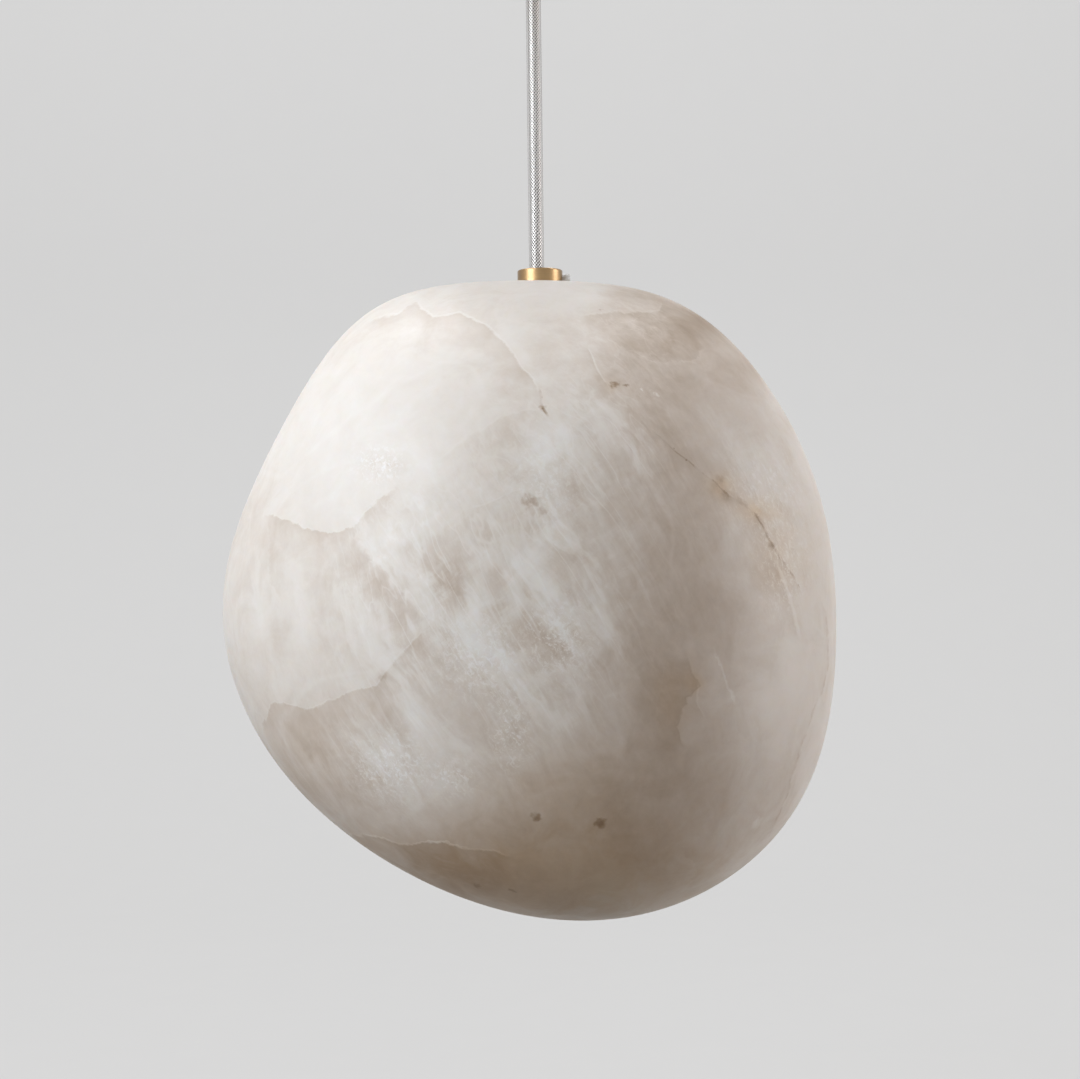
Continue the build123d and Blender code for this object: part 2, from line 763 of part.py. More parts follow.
with BuildPart() as bulb_cap:
    with BuildSketch(Plane.XY.offset(bulb_cap_low_z)):
        Circle(bulb_cap_diameter / 2)
    extrude(amount=insulator_low_z - bulb_cap_low_z)
    cap_shoulder = (bulb_cap_diameter - bulb_insulator_diameter) / 2
    chamfer(bulb_cap.edges().group_by(Axis.Z)[-1], length=cap_shoulder)
bulb_cap.part.label = "bulb_cap"
export_step(bulb_cap.part, "parts/bulb_cap.step")

with BuildPart() as bulb_housing:
    with BuildSketch(Plane.XZ):
        with BuildLine():
            Spline(
                (bulb_neck_diameter / 2, bulb_cap_low_z),
                (globe_rim_radius, globe_rim_z),
                tangents=((0, -1), (globe_lift / globe_radius, -globe_rim_radius / globe_radius)),
            )
            Polyline(
                (globe_rim_radius, globe_rim_z),
                (0, globe_rim_z),
                (0, bulb_cap_low_z),
                (bulb_neck_diameter / 2, bulb_cap_low_z),
            )
        make_face()
    revolve(axis=Axis.Z)
bulb_housing.part.label = "bulb_housing"
export_step(bulb_housing.part, "parts/bulb_housing.step")

with BuildPart() as bulb_board:
    with BuildSketch(Plane.XY.offset(globe_rim_z)):
        Circle(board_diameter / 2)
    extrude(amount=-board_thickness)
    with BuildSketch(Plane.XY.offset(globe_rim_z - board_thickness)):
        with PolarLocations(light_ring, light_count):
            Rectangle(light_length, light_width)
    extrude(amount=-light_height)
bulb_board.part.label = "bulb_board"
export_step(bulb_board.part, "parts/bulb_board.step")

globe_inside = globe_radius - globe_wall
outer_angle = math.degrees(math.asin(globe_lift / globe_radius))
inner_angle = math.degrees(math.asin(globe_lift / globe_inside))
with BuildPart() as bulb_globe:
    with BuildSketch(Plane.XZ):
        with BuildLine():
            outer_arc = CenterArc((0, globe_z), globe_radius, -90, 90 + outer_angle)
            inner_arc = CenterArc((0, globe_z), globe_inside, -90, 90 + inner_angle)
            Line(outer_arc @ 0, inner_arc @ 0)
            Line(outer_arc @ 1, inner_arc @ 1)
        make_face()
    revolve(axis=Axis.Z)
bulb_globe.part.label = "bulb_globe"
export_step(bulb_globe.part, "parts/bulb_globe.step")
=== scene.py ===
"""Looks of the alabaster pendant light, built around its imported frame, in metres."""
import json
import math

import bpy
import numpy as np
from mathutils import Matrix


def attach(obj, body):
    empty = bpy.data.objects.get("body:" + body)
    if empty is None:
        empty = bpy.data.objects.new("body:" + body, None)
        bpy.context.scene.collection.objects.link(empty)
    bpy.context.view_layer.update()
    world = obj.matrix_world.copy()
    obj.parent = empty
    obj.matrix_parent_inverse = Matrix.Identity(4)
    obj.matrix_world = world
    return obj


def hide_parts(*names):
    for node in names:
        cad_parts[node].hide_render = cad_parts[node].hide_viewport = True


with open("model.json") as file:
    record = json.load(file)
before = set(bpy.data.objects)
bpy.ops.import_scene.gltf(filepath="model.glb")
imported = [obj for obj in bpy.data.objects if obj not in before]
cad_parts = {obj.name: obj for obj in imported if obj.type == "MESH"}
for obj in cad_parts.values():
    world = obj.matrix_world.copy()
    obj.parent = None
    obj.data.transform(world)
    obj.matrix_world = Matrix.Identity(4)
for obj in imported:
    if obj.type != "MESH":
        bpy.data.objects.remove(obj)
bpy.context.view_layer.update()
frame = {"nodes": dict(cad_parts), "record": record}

MM = 0.001
NODES = frame["nodes"]

# The photograph's camera: level, on the cord's axis, slightly rolled
CAMERA_DISTANCE = 0.760
CAMERA_HEIGHT = -0.2658
CAMERA_ROLL = math.radians(0.71)
PHOTO_WIDTH = 1080
PHOTO_HEIGHT = 1079
FOCAL_PIXELS = 1900
SENSOR_WIDTH = 36.0

# Cord and grips
CORD_X = -0.0013
CORD_DIAMETER = 0.006
JACKET_IOR = 1.49
# The jacket magnifies the braid as a lens does: it is drawn as wide as it shows
BRAID_RADIUS = 0.0016 * JACKET_IOR
UPPER_PIVOT_Z = -0.0461
LOWER_PIVOT_Z = -0.1574
CORD_REACH = 0.0018
CORD_LEAD = 0.036
BRAID_SETBACK = 0.0006
BRAID_COLUMNS = 96
BRAID_ROWS = 760
BRAID_STRANDS = 12
BRAID_PITCH = 0.0014
BRAID_HEIGHT = 0.0005

# Stone, in millimetres: directions of the rim flats in degrees from +X towards +Z, and their distances
# from the heart
RIM_FLATS = [
    (-2, 118.6),
    (36, 125.2),
    (90, 127.2),
    (151, 123.2),
    (197, 129.1),
    (236, 120.4),
    (270, 129.1),
    (312, 135.0),
]
DEPTH_FLAT = 118.0
SHOULDER_FULLNESS = 1.06
FOOT_FULLNESS = 0.16
FLAT_BLEND = 8
STONE_WALL = 12.0
HOLLOW_SHIFT_X = -0.35
OPENING_RADIUS = 40.0
OPENING_EDGE = 2.0
COUNTERBORE_RADIUS = 9.3
NIPPLE_HOLE_RADIUS = 5.25
STONE_TOP_Z = -164.2
CROWN_UNDER_Z = -190.2
COUNTERBORE_Z = -172.5
HEART_X = -1.3
HEART_Z = -288.96
SEAT_EDGE = 0.3
STONE_COLUMNS = 320
OUTER_ROWS = 170
INNER_ROWS = 64
EDGE_ROWS = 7
FIRST_REACH = 120.0
REACH_STEPS = 14
HALVING_STEPS = 30
UNDERSIDE_START = math.radians(120)
UNDERSIDE_END = math.radians(179)


def grid_faces(rows, columns, close_rows):
    """Quads of a grid whose columns wrap round, and whose rows do too if asked."""
    row = np.arange(rows if close_rows else rows - 1)
    column = np.arange(columns)
    down, across = np.meshgrid(row, column, indexing="ij")
    below = (down + 1) % rows
    beside = (across + 1) % columns
    upper = down * columns
    lower = below * columns
    corners = (upper + across, lower + across, lower + beside, upper + beside)
    return np.stack(corners, -1).reshape(-1, 4)


def new_piece(name, points, faces, sharp_degrees=35):
    """A mesh object at the origin from an array of points and an array of quads, shaded smooth."""
    mesh = bpy.data.meshes.new(name)
    mesh.vertices.add(len(points))
    mesh.vertices.foreach_set("co", np.asarray(points, np.float32).ravel())
    mesh.loops.add(faces.size)
    mesh.loops.foreach_set("vertex_index", faces.ravel().astype(np.int32))
    mesh.polygons.add(len(faces))
    mesh.polygons.foreach_set("loop_start", np.arange(0, faces.size, faces.shape[1], dtype=np.int32))
    mesh.polygons.foreach_set("use_smooth", np.ones(len(faces), bool))
    mesh.update(calc_edges=True)
    mesh.set_sharp_from_angle(angle=math.radians(sharp_degrees))
    piece = bpy.data.objects.new(name, mesh)
    bpy.context.scene.collection.objects.link(piece)
    return piece


def settle(piece, body, slot, *nodes):
    """Puts a piece on its body and hides the solids that it stands for; the slot is not used."""
    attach(piece, body)
    if nodes:
        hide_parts(*nodes)


def flat_planes():
    """Unit directions and distances of all the stone's flats: front, back, rim and shoulders.

    A shoulder lies at 45 degrees between a rim flat and the front or back, and its distance is its
    fullness times the mean of theirs.
    """
    directions = [(0, -1, 0), (0, 1, 0)]
    distances = [DEPTH_FLAT, DEPTH_FLAT]
    half = math.sqrt(0.5)
    for degrees, distance in RIM_FLATS:
        across = math.cos(math.radians(degrees))
        up = math.sin(math.radians(degrees))
        fullness = SHOULDER_FULLNESS + FOOT_FULLNESS * max(0.0, -up)
        directions.append((across, 0, up))
        directions.append((across * half, -half, up * half))
        directions.append((across * half, half, up * half))
        shoulder = fullness * (distance + DEPTH_FLAT) / 2
        distances += [distance, shoulder, shoulder]
    return np.array(directions, float), np.array(distances, float)


FLAT_DIRECTIONS, FLAT_DISTANCES = flat_planes()


def stone_reach(start, directions, wall):
    """Distance from start along each direction to the stone's surface.

    The surface is where the sum over flats of (n.q / (d - wall))^p is 1; each step divides the
    distance by the p-th root of that sum, which settles at once when start is near the heart.
    """
    distance = np.full(directions.shape[:-1], FIRST_REACH)
    for _ in range(REACH_STEPS):
        q = start + distance[..., None] * directions
        shares = np.maximum(q @ FLAT_DIRECTIONS.T, 0) / (FLAT_DISTANCES - wall)
        distance = distance / (shares**FLAT_BLEND).sum(-1) ** (1 / FLAT_BLEND)
    return distance


def stone_sheet(polar, turn, wall, shift_x):
    """Radius about the lamp axis, and height, of the surface at polar angles from +Z.

    The rays leave the lamp axis at the heart's height, so radius = distance sin(polar) and
    z = heart + distance cos(polar).
    """
    rays = np.stack([np.sin(polar) * np.cos(turn), np.sin(polar) * np.sin(turn), np.cos(polar)], -1)
    start = np.array([-HEART_X - shift_x, 0.0, 0.0])
    distance = stone_reach(start, rays, wall)
    return distance * np.sin(polar), HEART_Z + distance * np.cos(polar)


def polar_at_radius(radius, turn, wall, shift_x):
    """Polar angle on the underside at which the surface has this radius, found by halving."""
    low = np.full(turn.shape, UNDERSIDE_START)
    high = np.full(turn.shape, UNDERSIDE_END)
    for _ in range(HALVING_STEPS):
        middle = (low + high) / 2
        outside = stone_sheet(middle, turn, wall, shift_x)[0] > radius
        low = np.where(outside, middle, low)
        high = np.where(outside, high, middle)
    return (low + high) / 2


def stone_points():
    """Closed skin of the hollowed stone as rows of rings, in millimetres.

    Each ring is a level of one closed profile: ground crown seat, outer surface, rounded opening,
    hollow, flat seat under the crown, nipple hole and counterbore, back to the crown.
    """
    turn = np.linspace(0, 2 * np.pi, STONE_COLUMNS, endpoint=False)
    ones = np.ones_like(turn)
    edge_radius = OPENING_RADIUS + OPENING_EDGE
    share = np.linspace(0, 1, OUTER_ROWS)[:, None]
    start = math.atan2(COUNTERBORE_RADIUS + SEAT_EDGE, STONE_TOP_Z - HEART_Z)
    end = polar_at_radius(edge_radius, turn, 0.0, 0.0)
    outer_radius, outer_z = stone_sheet(start + (end - start) * share, turn, 0.0, 0.0)
    outer_z = np.minimum(outer_z, STONE_TOP_Z)
    share = np.linspace(0, 1, INNER_ROWS)[:, None]
    start = polar_at_radius(edge_radius, turn, STONE_WALL, HOLLOW_SHIFT_X)
    end = math.atan2(NIPPLE_HOLE_RADIUS, CROWN_UNDER_Z - HEART_Z)
    polar = start + (end - start) * share
    inner_radius, inner_z = stone_sheet(polar, turn, STONE_WALL, HOLLOW_SHIFT_X)
    inner_z = np.minimum(inner_z, CROWN_UNDER_Z)
    inner_radius[-1] = NIPPLE_HOLE_RADIUS
    inner_z[-1] = CROWN_UNDER_Z
    radii = [outer_radius]
    heights = [outer_z]
    sweep = np.linspace(0, np.pi / 2, EDGE_ROWS)[1:, None]
    radii.append(edge_radius - OPENING_EDGE * np.sin(sweep) * ones)
    heights.append(outer_z[-1] + OPENING_EDGE * (1 - np.cos(sweep)))
    radii.append(edge_radius - OPENING_EDGE * np.cos(sweep) * ones)
    heights.append(inner_z[0] - OPENING_EDGE * (1 - np.sin(sweep)))
    radii.append(inner_radius[1:])
    heights.append(inner_z[1:])
    well = [
        (NIPPLE_HOLE_RADIUS, COUNTERBORE_Z),
        (COUNTERBORE_RADIUS, COUNTERBORE_Z),
        (COUNTERBORE_RADIUS, STONE_TOP_Z - SEAT_EDGE),
    ]
    for radius, height in well:
        radii.append(radius * ones[None])
        heights.append(height * ones[None])
    radius = np.concatenate(radii)
    height = np.concatenate(heights)
    return np.stack([radius * np.cos(turn), radius * np.sin(turn), height], -1)


# How the markings pass from the front to the back, in metres from the middle plane
MIDDLE_BLEND = 0.018
MIDDLE_GAP = 0.002
FRONT_LIMIT = -0.004
# Share of a seen line's run over which its ends fade
LINE_FADE = 0.09
# Most that the fields of the stone's shader reach
WISP_MOST = 1.0
WARM_MOST = 1.3
CRYSTAL_AND_PIT_SHADE_MOST = 1.0

# Seen lines of the stone, as pixel positions in the photograph: the darker side lies to the right of
# each line's run
LOBE_EDGE = [
    (262, 512), (285, 519), (300, 523), (311, 529), (330, 534), (350, 527), (363, 516), (377, 500),
    (400, 482),
]
STRIP_EDGE = [(284, 603), (270, 582), (269, 560), (270, 540), (266, 520)]
CREST_LINE = [
    (363, 322), (397, 313), (416, 303), (434, 317), (461, 312), (488, 327), (506, 344), (518, 362),
    (533, 379), (540, 397),
]
PATCH_EDGE = [(440, 462), (468, 437), (483, 427), (506, 416), (533, 409), (546, 414)]
THIN_LINE = [(470, 508), (490, 504), (508, 493), (526, 488)]
CHIP_LINE = [(539, 388), (541, 397), (541, 404), (544, 410), (548, 416)]
CROWN_EDGE = [(580, 317), (613, 311), (659, 312), (662, 300)]
CRACK_LINE = [(588, 346), (592, 356), (598, 371), (605, 382), (616, 386)]
GREY_EDGE = [(640, 353), (652, 360), (674, 362), (697, 360), (705, 346)]
FAULT_START = [(613, 388), (620, 397), (632, 408), (643, 422), (652, 433)]
FAULT_HAIR = [
    (648, 426), (655, 433), (664, 441), (674, 450), (682, 456), (688, 461), (698, 470), (712, 480),
    (720, 487),
]
FAULT_BREAK = [(712, 480), (718, 485), (723, 490), (728, 495), (734, 499)]
FAULT_ROUGH = [(722, 490), (736, 499), (748, 507), (757, 514), (764, 526)]
FAULT_CLEFT = [
    (754, 510), (757, 516), (764, 528), (770, 541), (777, 553), (787, 566), (794, 577), (799, 588),
    (803, 598),
]
FAULT_STREAK = [(774, 556), (780, 572), (786, 588), (792, 606), (797, 624), (800, 640)]
FEATHER_LINE = [(355, 538), (372, 556), (395, 585), (419, 609), (436, 623), (456, 636)]
SHELF_EDGE = [
    (262, 740), (266, 712), (274, 702), (288, 705), (311, 708), (326, 702), (342, 697), (357, 689),
    (377, 685), (384, 677), (397, 658), (414, 641), (430, 628),
]
FOOT_EDGE = [
    (338, 831), (362, 835), (379, 838), (392, 841), (409, 846), (423, 841), (447, 843), (470, 849),
    (515, 855),
]
STAIN_EDGE = [
    (686, 655), (690, 662), (688, 667), (694, 672), (693, 677), (698, 681), (701, 687), (695, 690),
    (693, 696), (686, 698), (687, 704), (681, 707), (683, 713), (678, 717), (680, 723), (676, 728),
    (681, 734), (680, 741), (686, 748),
]
NOTCH_LINE = [(699, 684), (698, 694), (697, 704), (701, 711), (706, 718)]
SLIVER_LINE = [(714, 650), (719, 662), (724, 674), (727, 684), (733, 697), (737, 706)]
RIM_VEIN = [
    (818, 590), (825, 610), (828, 632), (828, 655), (826, 672), (822, 692), (812, 715), (806, 734),
    (799, 752), (793, 774), (787, 795), (780, 813), (772, 830), (758, 846),
]
HEEL_EDGE = [(683, 850), (693, 864), (697, 873), (690, 884), (680, 894)]
SEEN_LINES = {
    "lobe": LOBE_EDGE,
    "strip": STRIP_EDGE,
    "crest": CREST_LINE,
    "patch": PATCH_EDGE,
    "thin": THIN_LINE,
    "chip": CHIP_LINE,
    "crown": CROWN_EDGE,
    "crack": CRACK_LINE,
    "grey": GREY_EDGE,
    "fault_start": FAULT_START,
    "fault_hair": FAULT_HAIR,
    "fault_break": FAULT_BREAK,
    "fault_rough": FAULT_ROUGH,
    "fault_cleft": FAULT_CLEFT,
    "fault_streak": FAULT_STREAK,
    "feather": FEATHER_LINE,
    "shelf": SHELF_EDGE,
    "foot": FOOT_EDGE,
    "stain": STAIN_EDGE,
    "notch": NOTCH_LINE,
    "sliver": SLIVER_LINE,
    "rim": RIM_VEIN,
    "heel": HEEL_EDGE,
}

# Soft patches of the stone's depth of tone: pixel centre, half widths, and how much darker they are.
# Besides the stone's own cloudy tone they hold painted shade and light: painted shade darkens the
# broad band down the right middle and the bottom, and painted light brightens the upper left
TONE_AND_SHADE_PATCHES = [
    (680, 640, 75, 190, 0.30),
    (540, 885, 190, 45, 0.12),
    (575, 805, 120, 80, 0.28),
    (530, 620, 90, 110, 0.10),
    (450, 885, 70, 34, 0.22),
    (400, 850, 70, 36, 0.12),
    (300, 785, 80, 66, 0.26),
    (500, 452, 45, 36, 0.04),
    (650, 455, 45, 60, 0.12),
    (735, 500, 26, 16, 0.08),
    (775, 560, 22, 36, 0.07),
    (665, 345, 75, 55, 0.31),
    (588, 298, 24, 9, -0.10),
    (640, 294, 42, 14, 0.22),
    (702, 322, 30, 18, 0.26),
    (752, 366, 22, 22, 0.18),
    (790, 420, 12, 26, 0.12),
    (625, 890, 50, 24, -0.17),
    (702, 835, 38, 34, -0.06),
    (540, 562, 30, 30, -0.06),
    (462, 462, 24, 24, -0.09),
    (700, 412, 70, 60, 0.06),
    (545, 360, 30, 40, 0.07),
    (640, 650, 30, 50, 0.05),
    (500, 832, 50, 22, 0.10),
    (795, 700, 34, 100, -0.06),
    (380, 580, 45, 40, 0.12),
    (455, 580, 25, 40, 0.12),
    (250, 530, 30, 70, 0.08),
    (330, 430, 90, 80, -0.09),
    (560, 290, 60, 24, -0.06),
    (790, 520, 45, 60, -0.05),
    (760, 700, 50, 120, -0.04),
]
# Where the white wisps are thick, in the same terms
WISP_PATCHES = [
    (530, 590, 110, 130, 1.0),
    (400, 600, 60, 80, 0.8),
    (610, 440, 60, 70, 0.6),
    (390, 760, 90, 50, 0.6),
    (640, 330, 60, 40, 0.4),
    (760, 500, 60, 60, 0.35),
]
# Feathered bands: a line of pixels, half width in pixels, and how much lighter the band is
BANDS = [
    ([(352, 520), (380, 545), (408, 580), (436, 612), (456, 634)], 13, 0.30),
    ([(484, 545), (482, 580), (474, 612), (462, 640)], 9, 0.26),
    ([(512, 560), (516, 590), (520, 622)], 4, 0.24),
    ([(514, 584), (516, 602), (517, 624)], 2, 0.26),
    ([(546, 612), (556, 624), (568, 640), (583, 660)], 3, 0.40),
    ([(540, 596), (552, 616), (566, 634)], 7, 0.22),
    ([(460, 640), (480, 646), (502, 656), (520, 668)], 8, 0.20),
    ([(586, 560), (598, 598), (612, 636), (622, 660)], 9, 0.20),
    ([(528, 545), (540, 580), (556, 612)], 12, 0.22),
    ([(388, 678), (404, 704), (426, 738), (450, 770)], 12, 0.24),
    ([(480, 640), (508, 672), (540, 704), (580, 730)], 14, 0.18),
    ([(556, 425), (545, 455), (548, 486), (560, 512)], 17, 0.26),
    ([(600, 420), (622, 452), (650, 480)], 12, 0.14),
    ([(560, 512), (548, 540), (530, 560)], 14, 0.16),
    ([(430, 490), (420, 520), (426, 548)], 16, 0.14),
    ([(330, 730), (372, 752), (420, 776), (470, 790)], 16, 0.14),
    ([(760, 430), (778, 470), (796, 520)], 14, 0.12),
    ([(700, 400), (720, 430), (748, 470)], 9, 0.12),
    ([(262, 545), (258, 590), (262, 640)], 7, 0.16),
    ([(296, 560), (298, 600), (306, 650)], 9, 0.16),
    ([(322, 570), (320, 610), (326, 660)], 8, -0.10),
    ([(276, 600), (276, 640), (284, 686)], 6, -0.08),
    ([(426, 552), (442, 578), (462, 608)], 11, -0.20),
    ([(492, 566), (496, 596), (502, 628)], 7, -0.26),
    ([(524, 628), (540, 640), (560, 656)], 6, -0.16),
    ([(574, 418), (592, 434), (600, 452)], 9, -0.16),
    ([(562, 470), (574, 492), (580, 520)], 9, -0.12),
    ([(520, 616), (544, 636), (572, 660)], 11, -0.18),
    ([(382, 688), (390, 712), (402, 742)], 9, -0.16),
    ([(348, 552), (366, 576), (398, 606)], 15, -0.16),
    ([(574, 430), (590, 450), (604, 474)], 12, -0.14),
    ([(470, 436), (488, 452), (508, 476)], 24, -0.04),
    ([(660, 660), (668, 690), (664, 730)], 16, -0.04),
    ([(440, 690), (470, 720), (510, 748)], 14, -0.12),
    ([(596, 352), (640, 402), (690, 456), (740, 500)], 10, -0.08),
]
# Where the stone is stained brown, in the same terms as the soft patches
WARM_PATCHES = [
    (470, 888, 100, 38, 1.1),
    (600, 880, 120, 52, 0.9),
    (575, 805, 95, 60, 0.45),
    (670, 698, 15, 30, 0.55),
    (530, 560, 110, 150, 0.16),
    (694, 682, 9, 10, 0.9),
    (722, 486, 14, 12, 1.1),
    (752, 510, 24, 12, 0.9),
    (777, 556, 26, 40, 0.6),
    (613, 387, 8, 6, 0.4),
    (300, 768, 40, 40, 0.15),
    (352, 850, 40, 20, 0.6),
]
# Where small bright crystals show, with painted shade in their gaps, in the same terms as the soft
# patches
CRYSTAL_AND_PIT_SHADE_PATCHES = [
    (392, 766, 30, 26, 1.0),
    (452, 777, 18, 14, 0.9),
    (510, 730, 16, 34, 0.7),
    (380, 464, 20, 15, 1.0),
    (480, 655, 34, 34, 0.8),
    (560, 636, 26, 34, 0.8),
    (545, 480, 30, 50, 0.4),
    (765, 490, 34, 34, 0.45),
    (785, 560, 24, 46, 0.5),
]
# Small marks: pixel centre, radius in millimetres, and how much darker they are
SMALL_MARKS = [
    (535, 818, 2.3, 0.40),
    (598, 821, 2.5, 0.40),
    (478, 885, 1.8, 0.20),
    (511, 890, 1.8, 0.22),
    (531, 498, 3.6, 0.36),
    (543, 511, 2.4, 0.18),
    (601, 311, 1.2, 0.20),
    (613, 386, 1.9, 0.42),
    (624, 383, 1.4, 0.36),
    (675, 450, 0.8, 0.30),
    (688, 461, 0.9, 0.40),
    (721, 480, 3.0, 0.18),
    (771, 545, 1.6, 0.22),
    (798, 586, 1.5, 0.24),
    (642, 391, 1.0, -0.24),
    (649, 392, 0.9, -0.24),
    (656, 396, 1.0, -0.20),
    (543, 406, 1.8, 0.30),
    (384, 679, 2.2, 0.16),
    (756, 823, 3.0, -0.22),
    (380, 468, 3.0, -0.14),
]


def photo_pixels(points, side=1.0):
    """Pixel of the photograph on which each point falls; side -1 is from behind and upside down.

    u = 540 + f (x cos r - z sin r) / (D + y) and v = 539.5 - f (x sin r + z cos r) / (D + y), with x
    and z measured from the camera's axis, r its roll and D its distance; side turns the signs of x, y
    and z.
    """
    across = (points[:, 0] - CORD_X) * side
    up = (points[:, 2] - CAMERA_HEIGHT) * side
    depth = CAMERA_DISTANCE + points[:, 1] * side
    cosine = math.cos(CAMERA_ROLL)
    sine = math.sin(CAMERA_ROLL)
    u = PHOTO_WIDTH / 2 + FOCAL_PIXELS * (across * cosine - up * sine) / depth
    v = PHOTO_HEIGHT / 2 - FOCAL_PIXELS * (across * sine + up * cosine) / depth
    return np.stack([u, v], -1)


def line_field(pixels, line):
    """Signed distance to an open line, positive to the right of its run, and the share along it."""
    line = np.asarray(line, float)
    starts = line[:-1]
    runs = line[1:] - starts
    lengths = np.linalg.norm(runs, axis=1)
    reached = np.concatenate([[0.0], np.cumsum(lengths)])
    offset = pixels[:, None] - starts
    share = np.clip((offset * runs).sum(-1) / lengths**2, 0, 1)
    gap = offset - share[..., None] * runs
    distance = np.linalg.norm(gap, axis=-1)
    nearest = distance.argmin(1)
    row = np.arange(len(pixels))
    cross = runs[nearest, 0] * offset[row, nearest, 1] - runs[nearest, 1] * offset[row, nearest, 0]
    along = (reached[nearest] + share[row, nearest] * lengths[nearest]) / reached[-1]
    return distance[row, nearest] * np.sign(cross), along


def smooth_step(low, high, value):
    """3t^2 - 2t^3, with t running from 0 at low to 1 at high."""
    t = np.clip((value - low) / (high - low), 0, 1)
    return t * t * (3 - 2 * t)


def add_values(mesh, name, values):
    """Stores one number, or one vector, per vertex under a name that shaders read."""
    kind = "FLOAT" if values.ndim == 1 else "FLOAT_VECTOR"
    key = "value" if values.ndim == 1 else "vector"
    mesh.attributes.new(name, kind, "POINT").data.foreach_set(key, values.astype(np.float32).ravel())


def patch_sum(pixels, patches):
    """Sum over patches of amount * exp(-(du / wide)^2 - (dv / high)^2)."""
    u, v, wide, high, amount = np.array(patches, float).T
    across = (pixels[:, :1] - u) / wide
    down = (pixels[:, 1:] - v) / high
    return (amount * np.exp(-(across**2) - down**2)).sum(1)


def both_sides(points, patches):
    """The front's patches, passing into the back's across the stone's middle plane."""
    front = patch_sum(photo_pixels(points), patches)
    back = patch_sum(photo_pixels(points, -1.0), patches)
    return front + (back - front) * smooth_step(-MIDDLE_BLEND, MIDDLE_BLEND, points[:, 1])


def band_sum(pixels):
    """Sum over bands of amount * exp(-(d / half width)^2) * sqrt(4 t (1 - t)).

    d is the distance to the band's line, and t the share run along it.
    """
    value = np.zeros(len(pixels))
    for line, half_width, amount in BANDS:
        distance, along = line_field(pixels, line)
        ends = np.sqrt(np.maximum(4 * along * (1 - along), 0))
        value += amount * np.exp(-((distance / half_width) ** 2)) * ends
    return value


def mark_places(points):
    """The stone's point behind each small mark's pixel: the nearest on its outer front half."""
    front = points[points[:, 1] < FRONT_LIMIT]
    pixels = photo_pixels(front)
    marks = np.array(SMALL_MARKS)[:, :2]
    nearest = ((pixels[:, None] - marks) ** 2).sum(-1).argmin(0)
    return front[nearest]


def mark_stone(mesh, points):
    """Writes what the alabaster's shader reads: lines, tone, wisps, bands, stains and crystals."""
    pixels = photo_pixels(points, np.where(points[:, 1] > 0, -1.0, 1.0))
    outside = smooth_step(MIDDLE_GAP, MIDDLE_BLEND, np.abs(points[:, 1]))
    for name, line in SEEN_LINES.items():
        distance, along = line_field(pixels, line)
        window = smooth_step(0.0, LINE_FADE, along) * smooth_step(0.0, LINE_FADE, 1 - along) * outside
        add_values(mesh, "line_" + name, np.stack([distance, along, window], -1))
    # The tone field is the stone's own tone together with painted shade and light
    add_values(mesh, "tone_and_shade", both_sides(points, TONE_AND_SHADE_PATCHES))
    add_values(mesh, "wisp", np.minimum(both_sides(points, WISP_PATCHES), WISP_MOST))
    add_values(mesh, "band", band_sum(pixels) * outside)
    add_values(mesh, "warm", np.minimum(both_sides(points, WARM_PATCHES), WARM_MOST))
    add_values(mesh, "crystal_and_pit_shade", np.minimum(both_sides(points, CRYSTAL_AND_PIT_SHADE_PATCHES), CRYSTAL_AND_PIT_SHADE_MOST))


def add(tree, kind, inputs=None, **settings):
    """A new node with its settings, each input either linked from a socket or set to a value."""
    node = tree.nodes.new(kind)
    for key, value in settings.items():
        setattr(node, key, value)
    for key, value in (inputs or {}).items():
        socket = node.inputs[key]
        if isinstance(value, bpy.types.NodeSocket):
            tree.links.new(value, socket)
        else:
            socket.default_value = value
    return node


def calc(tree, operation, a, b=0.0, clamp=False):
    """The output of one arithmetic node."""
    return add(tree, "ShaderNodeMath", {0: a, 1: b}, operation=operation, use_clamp=clamp).outputs[0]


def total(tree, terms):
    """The sum of several sockets, each times its own weight."""
    result = 0.0
    for socket, weight in terms:
        product = calc(tree, "MULTIPLY", socket, weight)
        result = calc(tree, "ADD", product, result)
    return result


def ramp(tree, share, stops):
    """Colour read from a ramp of (place, colour) stops, the first at 0 and the last at 1."""
    node = add(tree, "ShaderNodeValToRGB", {"Fac": share})
    elements = node.color_ramp.elements
    for place, _ in stops[1:-1]:
        elements.new(place)
    for element, (_, colour) in zip(elements, stops):
        element.color = (*colour, 1)
    return node.outputs["Color"]


def fade(tree, value, low, high, start=0.0, end=1.0):
    """Smooth change from start, where the value is low, to end, where it is high."""
    inputs = {"Value": value, "From Min": low, "From Max": high, "To Min": start, "To Max": end}
    return add(tree, "ShaderNodeMapRange", inputs, interpolation_type="SMOOTHSTEP").outputs["Result"]


def tint(tree, share, a, b, mode="MIX"):
    """Two colours mixed by a share."""
    node = add(tree, "ShaderNodeMix", {0: share, 6: a, 7: b}, data_type="RGBA", blend_type=mode)
    return node.outputs[2]


def noise(tree, where, scale, detail=4.0, roughness=0.55, distortion=0.0):
    """Fractal noise between about 0 and 1."""
    inputs = {"Vector": where, "Scale": scale, "Detail": detail}
    inputs.update({"Roughness": roughness, "Distortion": distortion})
    return add(tree, "ShaderNodeTexNoise", inputs).outputs["Fac"]


def vector(tree, operation, inputs):
    """The vector output of one vector node."""
    return add(tree, "ShaderNodeVectorMath", inputs, operation=operation).outputs["Vector"]


def mapped(tree, where, **inputs):
    """Coordinates turned and scaled by a Mapping node."""
    return add(tree, "ShaderNodeMapping", {"Vector": where, **inputs}).outputs["Vector"]


def attribute(tree, name, output="Fac"):
    """A value, or a vector, that the mesh carries under a name."""
    return add(tree, "ShaderNodeAttribute", attribute_name=name).outputs[output]


def object_place(tree):
    """The piece's own Object coordinates."""
    return add(tree, "ShaderNodeTexCoord").outputs["Object"]


